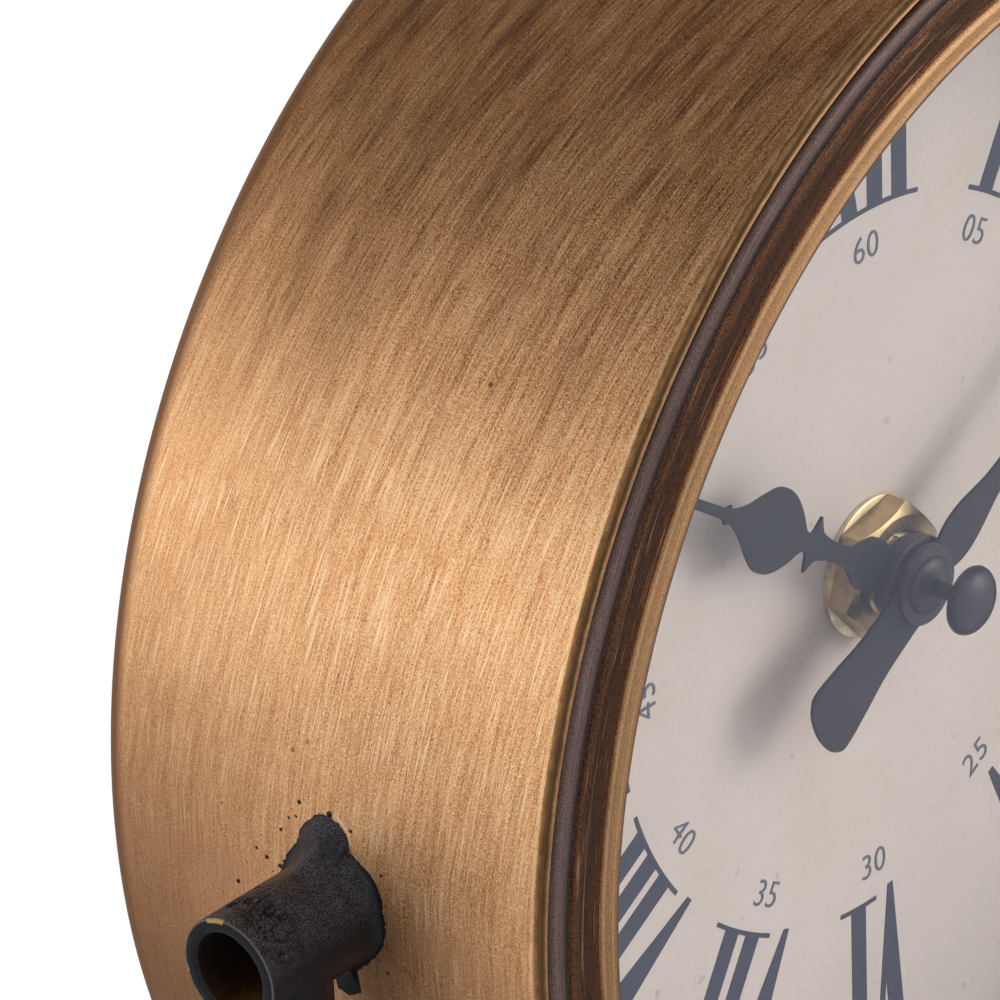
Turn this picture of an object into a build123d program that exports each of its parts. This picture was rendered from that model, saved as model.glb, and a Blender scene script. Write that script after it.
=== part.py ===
from build123d import *
from math import cos, pi, radians, sin
import os

# Table clock: a drum case welded between the side tubes of a steel stand, with a geared movement.
# Lengths are millimetres. X runs to the viewer's right, Y to the back and Z up. The dial faces -Y.
# The origin lies on the table, under the middle of the stand.
# A depth is a distance behind the case's front rim. A radius is measured from the clock's axis.

os.makedirs("parts", exist_ok=True)

# General clearances
overrun = 1.0
seat_clearance = 0.05
running_clearance = 0.05
loose_clearance = 0.3

# Case
case_radius = 75.0
case_depth = 49.0
case_wall = 1.4
front_edge_round = 0.4
front_channel_depth = 0.12
rear_edge_round = 2.0
rear_lip_width = 3.0
rear_recess = 3.0

# Front bezel, a spun ring pressed into the case
bezel_face_width = 8.8
bezel_wall = 1.0
bezel_skirt_back = 9.0
bezel_edge_depth = 0.3
bezel_band_proud = 0.65
bezel_shoulder_width = 2.3
bezel_lip_width = 2.0
bezel_lip_rise = 0.9
bezel_flange_back = 0.4
lip_shares = ((1.0, 0.0), (0.68, 0.18), (0.5, 0.68), (0.28, 1.0), (0.0, 0.4))

# Glass and what holds it
gasket_thickness = 0.5
gasket_inset = 0.4
glass_thickness = 2.0
sleeve_wall = 1.2

# Dial
dial_depth = 25.2
dial_thickness = 1.0
dial_margin = 0.6
dial_hole_clearance = 0.2
print_thickness = 0.08
minute_ring_inset = 5.6
minute_ring_width = 0.35
minute_ring_gap = 2.4
numeral_margin = 3.1
numeral_foot_share = 0.6174

# Shares of the numerals' height
stroke_share = 0.1045
hairline_share = 0.0364
letter_gap_share = 0.0477
vee_width_share = 0.2545
cross_width_share = 0.2727
apex_width_share = 0.0545
serif_thickness_share = 0.0205
serif_overhang_share = 0.0591

# Rear ring, cover and fixings
rear_ring_width = 7.5
rear_ring_thickness = 1.4
rear_cover_thickness = 1.0
window_margin = 2.0
window_corner = 5.0
fixing_inset = 4.8
post_radius = 2.5
post_count = 3
cover_screw_count = 4
cover_screw_radius = 1.25
cover_screw_head_radius = 2.5
cover_screw_head_height = 1.5
cover_screw_slot = 0.6
cover_screw_length = 6.0

# Stand
tube_radius = 5.0
tube_wall = 1.35
tube_setback = 22.5
tube_reach = 12.65
leg_gap = 2.5
weld_reach = 4.6
weld_spread = 1.1
weld_crown = 2.4
weld_offset = 0.7
base_margin = 5.0
base_width = 76.0
base_thickness = 4.0
base_corner = 10.0
base_edge_round = 1.2
ground_gap = 12.0
foot_radius = 6.5
foot_height = 3.0
foot_inset = 12.0
foot_chamfer = 0.5
insert_length = 14.0
base_screw_radius = 2.0
base_screw_length = 14.0
base_screw_head_radius = 4.0
hex_socket_width = 2.5
hex_socket_depth = 1.4

# Movement case
movement_depth = 15.0
movement_wall = 0.9
movement_corner = 4.0
movement_cover_thickness = 1.2
rubber_washer_thickness = 1.0
rubber_washer_radius = 9.0
bay_drop = 10.2
bay_clearance = 1.45
battery_radius = 7.25
battery_length = 50.5
battery_nub_radius = 2.7
battery_nub_length = 1.0
battery_rim = 0.6
contact_thickness = 0.4
contact_width = 6.0
contact_bump_radius = 2.4
contact_bump_height = 1.4
contact_top = 20.0

# Bushing and nut
bushing_radius = 4.0
bushing_reach = 3.8
bushing_flange_radius = 5.5
bushing_flange_thickness = 0.9
brass_washer_radius = 6.95
brass_washer_thickness = 0.5
nut_flats = 12.4
nut_thickness = 2.8
nut_corner_round = 0.5

# Hour hand
hour_tube_radius = 2.5
hour_tube_wall = 0.65
hour_hand_gap = 0.4
hand_thickness = 0.35
hour_hub_radius = 4.4
hour_hub_height = 1.4
hour_hand_overlap = 4.5
hour_hand_angle = 304.0
hour_hand_shares = (
    (0.13, 0.058),
    (0.185, 0.063),
    (0.262, 0.026),
    (0.335, 0.024),
    (0.4, 0.036),
    (0.432, 0.071),
    (0.44, 0.036),
    (0.452, 0.021),
    (0.475, 0.042),
    (0.53, 0.088),
    (0.6, 0.099),
    (0.66, 0.066),
    (0.715, 0.028),
    (0.762, 0.017),
    (0.768, 0.025),
    (0.785, 0.014),
    (0.99, 0.012),
    (1.0, 0.004),
)

# Minute hand
cannon_radius = 1.8
cannon_bore_radius = 0.55
minute_hand_gap = 0.5
minute_hub_radius = 3.9
minute_hub_height = 0.7
minute_dome_height = 0.8
minute_hand_shortfall = 0.5
minute_hand_angle = 60.0
minute_hand_shares = (
    (0.04, 0.03),
    (0.075, 0.042),
    (0.105, 0.0465),
    (0.14, 0.043),
    (0.18, 0.033),
    (0.22, 0.0245),
    (0.32, 0.017),
    (0.56, 0.013),
    (0.6, 0.022),
    (0.618, 0.037),
    (0.624, 0.02),
    (0.632, 0.012),
    (0.65, 0.026),
    (0.69, 0.043),
    (0.735, 0.045),
    (0.79, 0.029),
    (0.84, 0.013),
    (0.87, 0.009),
    (0.99, 0.007),
    (1.0, 0.003),
)
minute_tail_length = 18.2
minute_tail_shares = (
    (0.16, 0.159),
    (0.45, 0.163),
    (0.67, 0.202),
    (0.85, 0.228),
    (0.905, 0.224),
    (0.925, 0.203),
    (0.972, 0.143),
    (0.993, 0.066),
    (1.0, 0.03),
)

# Seconds arbor and its cap
arbor_radius = 0.5
neck_radius = 0.75
neck_length = 3.1
cap_radius = 3.3
cap_edge = 0.5
cap_dome = 1.6

# Gear train, with the gap in front of each layer
tooth_addendum_share = 0.7
tooth_dedendum_share = 1.1
wheel_tooth_shares = (0.28, 0.20, 0.10)
pinion_tooth_shares = (0.24, 0.17, 0.08)
pin_radius = 0.3
wheel_thickness = 0.8
motion_distance = 6.0
motion_angle = 135.0
cannon_teeth = 8
motion_wheel_teeth = 24
motion_pinion_teeth = 8
hour_wheel_teeth = 32
setting_pinion_teeth = 8
third_distance = 9.0
third_angle = 60.0
seconds_pinion_teeth = 6
third_wheel_teeth = 45
third_pinion_teeth = 6
centre_wheel_teeth = 48
fifth_distance = 7.35
fifth_angle = -30.0
fifth_pinion_teeth = 6
seconds_wheel_teeth = 36
rotor_distance = 5.4
rotor_angle = 10.0
rotor_pinion_teeth = 6
fifth_wheel_teeth = 30
hour_layer_gap = 0.3
motion_layer_gap = 0.7
centre_layer_gap = 0.8
third_layer_gap = 1.0
seconds_layer_gap = 1.2
fifth_layer_gap = 1.0
layer_overlap = 0.3
centre_hub_radius = 1.0
knob_shaft_radius = 1.0
knob_radius = 4.5
knob_thickness = 2.6
knob_gap = 0.5
knob_notches = 18
knob_notch_radius = 0.35

# Step motor and circuit
rotor_magnet_radius = 2.6
rotor_magnet_gap = 0.4
rotor_magnet_length = 1.6
stator_setback = 0.3
stator_thickness = 0.9
stator_gap = 0.4
stator_bridge = 0.3
stator_bar = 2.4
coil_length = 19.0
coil_drop_gap = 0.6
coil_radius = 2.9
coil_core_width = 2.8
coil_core_thickness = 1.8
bobbin_flange_radius = 3.2
bobbin_flange_thickness = 0.7
board_height = 7.5
board_thickness = 0.8
board_setback = 0.5
board_top_gap = 3.6
board_post_radius = 1.2
crystal_radius = 1.4
crystal_length = 6.5
chip_radius = 3.0
chip_height = 1.1

# Places worked out from the sizes above
case_inner_radius = case_radius - case_wall
bezel_skirt_radius = case_inner_radius - seat_clearance
bezel_skirt_inner = bezel_skirt_radius - bezel_wall
bezel_inner_radius = case_radius - bezel_face_width
base_top = foot_height + base_thickness
axis_height = base_top + ground_gap + case_radius
axis_point = (0, 0, axis_height)
clock_axis = Axis(axis_point, (0, 1, 0))
leg_offset = case_radius + leg_gap + tube_radius
tube_bore_radius = tube_radius - tube_wall
tube_end = case_radius + tube_reach
fixing_radius = case_inner_radius - fixing_inset
rear_ring_back = case_depth - rear_recess
rear_ring_front = rear_ring_back - rear_ring_thickness
rear_cover_back = rear_ring_back + rear_cover_thickness
glass_front = bezel_flange_back + gasket_thickness
glass_back = glass_front + glass_thickness
glass_radius = bezel_skirt_inner - loose_clearance
sleeve_inner_radius = glass_radius - sleeve_wall
dial_back = dial_depth + dial_thickness
minute_ring_radius = bezel_inner_radius - minute_ring_inset
numeral_outer_radius = minute_ring_radius - numeral_margin
numeral_inner_radius = numeral_foot_share * numeral_outer_radius
numeral_height = numeral_outer_radius - numeral_inner_radius

# Depths of the movement's case, hands and layers
movement_front = dial_back + rubber_washer_thickness
movement_inside = movement_front + movement_wall
movement_back = movement_front + movement_depth
movement_cover_back = movement_back + movement_cover_thickness
battery_depth = movement_inside + seat_clearance + battery_radius
nut_back = dial_depth - brass_washer_thickness
nut_front = nut_back - nut_thickness
bushing_front = dial_depth - bushing_reach
hour_hand_back = bushing_front - hour_hand_gap
hour_tube_front = hour_hand_back - hour_hub_height
minute_hand_back = hour_tube_front - minute_hand_gap
cannon_front = minute_hand_back - minute_hub_height
neck_back = cannon_front - minute_dome_height - loose_clearance
neck_front = neck_back - neck_length
hour_layer = movement_inside + bushing_flange_thickness + hour_layer_gap
motion_layer = hour_layer + wheel_thickness + motion_layer_gap
centre_layer = motion_layer + wheel_thickness + centre_layer_gap
third_layer = centre_layer + wheel_thickness + third_layer_gap
seconds_layer = third_layer + wheel_thickness + seconds_layer_gap
fifth_layer = seconds_layer + wheel_thickness + fifth_layer_gap
rotor_magnet_front = fifth_layer + wheel_thickness + rotor_magnet_gap
stator_front = rotor_magnet_front + stator_setback
board_back = stator_front + board_setback
hour_hand_length = numeral_inner_radius + hour_hand_overlap
minute_hand_length = numeral_outer_radius - minute_hand_shortfall

# The movement's case is as wide as the cell with its contacts, and has the bay below the train.
inner_half_width = battery_length / 2 + contact_bump_height + contact_thickness + seat_clearance
inner_half_height = bay_drop + movement_wall + bay_clearance + 2 * battery_radius + seat_clearance
movement_width = 2 * (inner_half_width + movement_wall)
movement_height = 2 * (inner_half_height + movement_wall)
movement_inner_corner = movement_corner - movement_wall
battery_height = -inner_half_height + seat_clearance + battery_radius
board_length = 2 * (inner_half_width - seat_clearance - contact_thickness)
board_place = (0, inner_half_height - board_top_gap - board_height / 2)


def y_at(depth):
    """Y of a depth behind the front rim plane."""
    return depth - tube_setback


def facing(depth):
    """Plane across the clock's axis at a depth, seen from the front, with local y up."""
    return Plane(origin=(0, y_at(depth), axis_height), x_dir=(1, 0, 0), z_dir=(0, -1, 0))


def section(depth, radius):
    """Point of a turned profile, drawn on the YZ plane above the clock's axis."""
    return (y_at(depth), axis_height + radius)


def polar(radius, degrees):
    """Point on a facing plane, at an angle from the viewer's right."""
    return (radius * cos(radians(degrees)), radius * sin(radians(degrees)))


def shifted(point, step):
    """A point moved by another."""
    return (point[0] + step[0], point[1] + step[1])


def write(piece, name):
    """Labels a finished sub-part and writes it."""
    piece.part.label = name
    export_step(piece.part, f"parts/{name}.step")


def ring_face(back, outer, inner=0, place=(0, 0)):
    """Disc or ring on the facing plane of a depth."""
    with BuildSketch(facing(back)) as sketch:
        with Locations(place):
            Circle(outer)
            if inner > 0:
                Circle(inner, mode=Mode.SUBTRACT)
    return sketch.sketch


def make_ring(name, front, back, outer, inner=0):
    """A flat ring or disc between two depths."""
    with BuildPart() as ring:
        extrude(ring_face(back, outer, inner), amount=back - front)
    write(ring, name)


def gear_face(back, teeth, module, half_shares, tooth_angle, bore, place=(0, 0)):
    """Toothed wheel on a facing plane, with one tooth centred on an angle."""
    root_share, pitch_share, tip_share = half_shares
    root = module * (teeth / 2 - tooth_dedendum_share)
    middle = module * teeth / 2
    tip = module * (teeth / 2 + tooth_addendum_share)
    corners = (
        (root, -root_share),
        (middle, -pitch_share),
        (tip, -tip_share),
        (tip, tip_share),
        (middle, pitch_share),
        (root, root_share),
    )
    pitch_angle = 360 / teeth
    points = [
        polar(radius, tooth_angle + (tooth + share) * pitch_angle)
        for tooth in range(teeth)
        for radius, share in corners
    ]
    with BuildSketch(facing(back)) as sketch:
        with Locations(place):
            Polygon(*points, align=None)
            Circle(bore, mode=Mode.SUBTRACT)
    return sketch.sketch


def hand_face(back, angle, length, half_width_shares, round_hub):
    """Hand outline, mirrored about its own line and turned clockwise from twelve."""
    right = [(length * width, length * reach) for reach, width in half_width_shares]
    left = [(-across, along) for across, along in reversed(right)]
    with BuildSketch(facing(back)) as sketch:
        Polygon((0, 0), *right, *left, rotation=-angle, align=None)
        Circle(round_hub)
    return sketch.sketch


# Stand: feet, base plate, legs, side tubes and their welds

base_half_length = leg_offset + tube_radius + base_margin
foot_places = (2 * (base_half_length - foot_inset), base_width - 2 * foot_inset)

with BuildPart() as rubber_feet:
    with BuildSketch(Plane.XY):
        with GridLocations(*foot_places, 2, 2):
            Circle(foot_radius)
    extrude(amount=foot_height)
    chamfer(rubber_feet.edges().group_by(Axis.Z)[0], foot_chamfer)
write(rubber_feet, "rubber_feet")

with BuildPart() as base_plate:
    with BuildSketch(Plane.XY.offset(foot_height)):
        RectangleRounded(2 * base_half_length, base_width, base_corner)
    extrude(amount=base_thickness)
    fillet(base_plate.edges().group_by(Axis.Z)[-1], base_edge_round)
    with Locations(Plane.XY.offset(foot_height).rotated((180, 0, 0))):
        with Locations((-leg_offset, 0), (leg_offset, 0)):
            CounterSinkHole(
                base_screw_radius + running_clearance,
                base_screw_head_radius + running_clearance,
                counter_sink_angle=90,
            )
write(base_plate, "base_plate")

with BuildPart() as base_screws:
    with Locations((-leg_offset, 0, foot_height), (leg_offset, 0, foot_height)):
        Cylinder(base_screw_radius, base_screw_length, align=(Align.CENTER, Align.CENTER, Align.MIN))
        Cone(
            base_screw_head_radius,
            base_screw_radius,
            base_screw_head_radius - base_screw_radius,
            align=(Align.CENTER, Align.CENTER, Align.MIN),
        )
    with BuildSketch(Plane.XY.offset(foot_height)):
        with Locations((-leg_offset, 0), (leg_offset, 0)):
            RegularPolygon(hex_socket_width / 2, 6, major_radius=False)
    extrude(amount=hex_socket_depth, mode=Mode.SUBTRACT)
write(base_screws, "base_screws")

with BuildPart() as leg_inserts:
    with BuildSketch(Plane.XY.offset(base_top)):
        with Locations((-leg_offset, 0), (leg_offset, 0)):
            Circle(tube_bore_radius)
            Circle(base_screw_radius, mode=Mode.SUBTRACT)
    extrude(amount=insert_length)
write(leg_inserts, "leg_inserts")

for side, side_name in ((-1, "left"), (1, "right")):
    with BuildPart() as leg:
        with BuildSketch(Plane.XY.offset(base_top)):
            with Locations((side * leg_offset, 0)):
                Circle(tube_radius)
                Circle(tube_bore_radius, mode=Mode.SUBTRACT)
        extrude(amount=axis_height - base_top)
        with BuildSketch(Plane.YZ.offset(side * leg_offset)):
            with Locations((0, axis_height)):
                Circle(tube_radius)
        extrude(amount=tube_radius + overrun, both=True, mode=Mode.SUBTRACT)
    write(leg, f"leg_{side_name}")

    with BuildPart() as side_tube:
        with BuildSketch(Plane.YZ):
            with Locations((0, axis_height)):
                Circle(tube_radius)
                Circle(tube_bore_radius, mode=Mode.SUBTRACT)
        extrude(amount=side * tube_end)
        extrude(ring_face(case_depth, case_radius), amount=case_depth, mode=Mode.SUBTRACT)
    write(side_tube, f"side_tube_{side_name}")

    # The weld flares from the tube onto the drum, and stands highest above the tube.
    weld_top = tube_radius + 3 * weld_crown / 2
    weld_foot = case_radius - (case_radius**2 - weld_top**2) ** 0.5
    with BuildPart() as tube_weld:
        with BuildSketch(Plane.YZ.offset(side * (case_radius + weld_reach))):
            with Locations((0, axis_height)):
                Circle(tube_radius + seat_clearance)
        with BuildSketch(Plane.YZ.offset(side * (case_radius + weld_reach / 3))):
            with Locations((weld_offset / 3, axis_height + weld_crown / 6)):
                Ellipse(tube_radius + weld_spread / 3, tube_radius + weld_crown / 3)
        with BuildSketch(Plane.YZ.offset(side * (case_radius - weld_foot))):
            with Locations((weld_offset, axis_height + weld_crown / 2)):
                Ellipse(tube_radius + weld_spread, tube_radius + weld_crown)
        loft()
        extrude(ring_face(case_depth, case_radius), amount=case_depth, mode=Mode.SUBTRACT)
        with BuildSketch(Plane.YZ):
            with Locations((0, axis_height)):
                Circle(tube_radius)
        extrude(amount=side * tube_end, mode=Mode.SUBTRACT)
        with BuildSketch(Plane.XY):
            with Locations((side * leg_offset, 0)):
                Circle(tube_radius)
        extrude(amount=axis_height, mode=Mode.SUBTRACT)
    write(tube_weld, f"tube_weld_{side_name}")

# Case: shell, bezel, gasket, glass, sleeve, rear ring, cover and fixings

shell_edge_middle = (case_radius - front_edge_round + case_inner_radius) / 2
rear_lip_radius = case_radius - rear_lip_width

with BuildPart() as drum_shell:
    with BuildSketch(Plane.YZ):
        with BuildLine():
            outer_round = TangentArc(
                section(front_edge_round, case_radius),
                section(0, case_radius - front_edge_round),
                tangent=(-1, 0),
            )
            channel = ThreePointArc(
                outer_round @ 1,
                section(front_channel_depth, shell_edge_middle),
                section(0, case_inner_radius),
            )
            inner_wall = Line(channel @ 1, section(rear_ring_back, case_inner_radius))
            inner_turn = TangentArc(
                inner_wall @ 1, section(case_depth - case_wall, rear_lip_radius), tangent=(1, 0)
            )
            lip = Line(inner_turn @ 1, section(case_depth, rear_lip_radius))
            rear_face = Line(lip @ 1, section(case_depth, case_radius - rear_edge_round))
            outer_turn = TangentArc(
                rear_face @ 1, section(case_depth - rear_edge_round, case_radius), tangent=(0, 1)
            )
            Line(outer_turn @ 1, outer_round @ 0)
        make_face()
    revolve(axis=clock_axis)
write(drum_shell, "drum_shell")

lip_points = [
    section(-bezel_band_proud - rise * bezel_lip_rise, bezel_inner_radius + width * bezel_lip_width)
    for width, rise in lip_shares
]

with BuildPart() as front_bezel:
    with BuildSketch(Plane.YZ):
        with BuildLine():
            shoulder_end = section(-bezel_band_proud, bezel_skirt_radius - bezel_shoulder_width)
            shoulder = TangentArc(
                shoulder_end, section(bezel_edge_depth, bezel_skirt_radius), tangent=(0, 1)
            )
            Line(shoulder @ 0, lip_points[0])
            ThreePointArc(lip_points[0], lip_points[1], lip_points[2])
            ThreePointArc(lip_points[2], lip_points[3], lip_points[4])
            Polyline(
                lip_points[4],
                section(bezel_flange_back, bezel_inner_radius),
                section(bezel_flange_back, bezel_skirt_inner),
                section(bezel_skirt_back, bezel_skirt_inner),
                section(bezel_skirt_back, bezel_skirt_radius),
                shoulder @ 1,
            )
        make_face()
    revolve(axis=clock_axis)
write(front_bezel, "front_bezel")

make_ring("glass_gasket", bezel_flange_back, glass_front, glass_radius, bezel_inner_radius + gasket_inset)
make_ring("glass_lens", glass_front, glass_back, glass_radius)
make_ring("spacer_sleeve", glass_back, dial_depth, glass_radius, sleeve_inner_radius)
make_ring(
    "dial_plate",
    dial_depth,
    dial_back,
    case_inner_radius - dial_margin,
    bushing_radius + dial_hole_clearance,
)

with BuildPart() as dial_posts:
    with BuildSketch(facing(rear_ring_front)):
        with PolarLocations(fixing_radius, post_count, start_angle=90):
            Circle(post_radius)
    extrude(amount=rear_ring_front - dial_back)
write(dial_posts, "dial_posts")

with BuildPart() as rear_ring:
    with BuildSketch(facing(rear_ring_back)):
        Circle(case_inner_radius - seat_clearance)
        Circle(case_inner_radius - rear_ring_width, mode=Mode.SUBTRACT)
        with PolarLocations(fixing_radius, cover_screw_count, start_angle=45):
            Circle(cover_screw_radius, mode=Mode.SUBTRACT)
    extrude(amount=rear_ring_thickness)
write(rear_ring, "rear_ring")

with BuildPart() as rear_cover:
    with BuildSketch(facing(rear_cover_back)):
        Circle(rear_lip_radius - loose_clearance)
        RectangleRounded(
            movement_width + 2 * window_margin,
            movement_height + 2 * window_margin,
            window_corner,
            mode=Mode.SUBTRACT,
        )
        with PolarLocations(fixing_radius, cover_screw_count, start_angle=45):
            Circle(cover_screw_radius + running_clearance, mode=Mode.SUBTRACT)
    extrude(amount=rear_cover_thickness)
write(rear_cover, "rear_cover")

with BuildPart() as cover_screws:
    with BuildSketch(facing(rear_cover_back)):
        with PolarLocations(fixing_radius, cover_screw_count, start_angle=45):
            Circle(cover_screw_radius)
    extrude(amount=cover_screw_length)
    with BuildSketch(facing(rear_cover_back)):
        with PolarLocations(fixing_radius, cover_screw_count, start_angle=45):
            Circle(cover_screw_head_radius)
    extrude(amount=-cover_screw_head_height)
    with BuildSketch(facing(rear_cover_back + cover_screw_head_height)):
        with PolarLocations(fixing_radius, cover_screw_count, start_angle=45):
            Rectangle(2 * cover_screw_head_radius + overrun, cover_screw_slot)
            Rectangle(cover_screw_slot, 2 * cover_screw_head_radius + overrun)
    extrude(amount=cover_screw_head_height / 2, mode=Mode.SUBTRACT)
write(cover_screws, "cover_screws")

# Dial print: Roman numerals with their feet towards the centre, and a double minute ring

letter_stroke = stroke_share * numeral_height
letter_hairline = hairline_share * numeral_height
letter_gap = letter_gap_share * numeral_height
vee_width = vee_width_share * numeral_height
cross_width = cross_width_share * numeral_height
apex_width = apex_width_share * numeral_height
serif_thickness = serif_thickness_share * numeral_height
serif_overhang = serif_overhang_share * numeral_height


def stroke_shapes(letter, left):
    """Outlines of one letter from its left edge, and its width. Height runs outward."""
    top = numeral_height + overrun
    foot = -overrun
    if letter == "I":
        right = left + letter_stroke
        return [[(left, foot), (right, foot), (right, top), (left, top)]], letter_stroke
    if letter == "X":
        right = left + cross_width
        thick = [
            (right - letter_stroke, foot),
            (right, foot),
            (left + letter_stroke, top),
            (left, top),
        ]
        thin = [
            (left, foot),
            (left + letter_hairline, foot),
            (right, top),
            (right - letter_hairline, top),
        ]
        return [thick, thin], cross_width
    right = left + vee_width
    apex = left + vee_width / 2 - apex_width / 2
    apex_end = apex + apex_width
    thick = [(apex, foot), (apex_end, foot), (left + letter_stroke, top), (left, top)]
    thin = [
        (apex_end - letter_hairline, foot),
        (apex_end, foot),
        (right, top),
        (right - letter_hairline, top),
    ]
    return [thick, thin], vee_width


def numeral_layout(letters):
    """Strokes of one centred numeral, its whole extent, and the extent of its serifed feet."""
    widths = [stroke_shapes(letter, 0)[1] for letter in letters]
    left = -(sum(widths) + letter_gap * (len(letters) - 1)) / 2
    whole = (left, -left)
    shapes = []
    footed = []
    for letter, width in zip(letters, widths):
        shapes += stroke_shapes(letter, left)[0]
        if letter != "V":
            footed += [left, left + width]
        left += width + letter_gap
    return shapes, whole, footed


def serif_face(radius, extent, hour_angle):
    """Arc-shaped serif across an extent, measured along the arc from the numeral's middle."""
    start = 90 - hour_angle - (extent[1] + serif_overhang) / radius * 180 / pi
    size = (extent[1] - extent[0] + 2 * serif_overhang) / radius * 180 / pi
    with BuildSketch(Plane.XY) as sketch:
        with BuildLine():
            near = CenterArc((0, 0), radius, start, size)
            far = CenterArc((0, 0), radius + serif_thickness, start, size)
            Line(near @ 0, far @ 0)
            Line(near @ 1, far @ 1)
        make_face()
    return sketch.sketch


numerals = ("XII", "I", "II", "III", "IIII", "V", "VI", "VII", "VIII", "IX", "X", "XI")

with BuildPart() as dial_print:
    with BuildSketch(facing(dial_depth)):
        for hour, letters in enumerate(numerals):
            for shape in numeral_layout(letters)[0]:
                corners = [(across, numeral_inner_radius + up) for across, up in shape]
                with Locations(Location((0, 0, 0), (0, 0, -30 * hour))):
                    Polygon(*corners, align=None)
        Circle(numeral_outer_radius, mode=Mode.INTERSECT)
        Circle(numeral_inner_radius, mode=Mode.SUBTRACT)
        for hour, letters in enumerate(numerals):
            shapes, whole, footed = numeral_layout(letters)
            add(serif_face(numeral_outer_radius - serif_thickness, whole, 30 * hour))
            if footed:
                add(serif_face(numeral_inner_radius, (min(footed), max(footed)), 30 * hour))
    extrude(amount=print_thickness)
    for radius in (minute_ring_radius, minute_ring_radius + minute_ring_gap):
        extrude(ring_face(dial_depth, radius + minute_ring_width, radius), amount=print_thickness)
write(dial_print, "dial_print")

# Movement case, with a battery bay below a partition, and the cover behind its train

knob_place = polar(2 * motion_distance, motion_angle)
board_post_offset = board_length / 2 - 2 * board_post_radius

with BuildPart() as movement_case:
    with BuildSketch(facing(movement_back)):
        RectangleRounded(movement_width, movement_height, movement_corner)
    extrude(amount=movement_depth)
    with BuildSketch(facing(movement_back)):
        RectangleRounded(2 * inner_half_width, 2 * inner_half_height, movement_inner_corner)
        with Locations((0, -bay_drop - movement_wall / 2)):
            Rectangle(board_length, movement_wall, mode=Mode.SUBTRACT)
    extrude(amount=movement_depth - movement_wall, mode=Mode.SUBTRACT)
    with BuildSketch(facing(movement_inside)):
        with Locations((-board_post_offset, board_place[1]), (board_post_offset, board_place[1])):
            Circle(board_post_radius)
    extrude(amount=-(board_back - board_thickness - movement_inside))
    extrude(
        ring_face(movement_inside + overrun, bushing_radius + seat_clearance),
        amount=movement_wall + 2 * overrun,
        mode=Mode.SUBTRACT,
    )
write(movement_case, "movement_case")

with BuildPart() as movement_cover:
    with BuildSketch(facing(movement_cover_back)):
        RectangleRounded(movement_width, movement_height, movement_corner)
        with Locations((0, -bay_drop - movement_wall)):
            Rectangle(
                movement_width + 2 * overrun,
                movement_height,
                align=(Align.CENTER, Align.MAX),
                mode=Mode.SUBTRACT,
            )
        with Locations(knob_place):
            Circle(knob_shaft_radius + running_clearance, mode=Mode.SUBTRACT)
        Circle(arbor_radius + running_clearance, mode=Mode.SUBTRACT)
    extrude(amount=movement_cover_thickness)
write(movement_cover, "movement_cover")

with BuildPart() as threaded_bushing:
    extrude(
        ring_face(movement_inside, bushing_radius, hour_tube_radius + running_clearance),
        amount=movement_inside - bushing_front,
    )
    extrude(
        ring_face(
            movement_inside + bushing_flange_thickness,
            bushing_flange_radius,
            hour_tube_radius + running_clearance,
        ),
        amount=bushing_flange_thickness,
    )
write(threaded_bushing, "threaded_bushing")

make_ring("rubber_washer", dial_back, movement_front, rubber_washer_radius, bushing_radius + seat_clearance)
make_ring(
    "brass_washer",
    dial_depth - brass_washer_thickness,
    dial_depth,
    brass_washer_radius,
    bushing_radius + seat_clearance,
)

with BuildPart() as brass_nut:
    with BuildSketch(facing(nut_back)):
        RegularPolygon(nut_flats / 2, 6, major_radius=False)
    extrude(amount=nut_thickness)
    with BuildSketch(Plane.YZ):
        with BuildLine():
            Polyline(
                section(nut_front, 0),
                section(nut_front, nut_flats / 2 - nut_corner_round / 2),
                section(nut_front + nut_corner_round, nut_flats / 2 + nut_corner_round),
                section(nut_front + nut_corner_round, nut_flats),
                section(nut_back, nut_flats),
                section(nut_back, 0),
                close=True,
            )
        make_face()
    revolve(axis=clock_axis, mode=Mode.INTERSECT)
    extrude(ring_face(nut_back, bushing_radius), amount=nut_thickness, mode=Mode.SUBTRACT)
write(brass_nut, "brass_nut")

# Battery and its contacts

battery_centre = axis_height + battery_height
battery_y = y_at(battery_depth)
battery_body_end = battery_length / 2 - battery_nub_length
contact_bottom = movement_inner_corner - inner_half_height

with BuildPart() as battery_cell:
    with BuildSketch(Plane.YZ.offset(-battery_length / 2)):
        with Locations((battery_y, battery_centre)):
            Circle(battery_radius)
    extrude(amount=battery_length - battery_nub_length)
    fillet(battery_cell.edges().filter_by(GeomType.CIRCLE), battery_rim)
    with BuildSketch(Plane.YZ.offset(battery_body_end)):
        with Locations((battery_y, battery_centre)):
            Circle(battery_nub_radius)
    extrude(amount=battery_nub_length)
write(battery_cell, "battery_cell")

for side, side_name in ((-1, "negative"), (1, "positive")):
    with BuildPart() as contact:
        with BuildSketch(Plane.YZ.offset(side * (inner_half_width - seat_clearance))):
            with Locations((battery_y, axis_height + (contact_top + contact_bottom) / 2)):
                Rectangle(contact_width, contact_top - contact_bottom)
        extrude(amount=-side * contact_thickness)
        with BuildSketch(Plane.YZ.offset(side * (inner_half_width - seat_clearance - contact_thickness))):
            with Locations((battery_y, battery_centre)):
                Circle(contact_bump_radius)
        extrude(amount=-side * contact_bump_height, taper=10)
    write(contact, f"battery_contact_{side_name}")

# Circuit board, crystal and step motor

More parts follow.
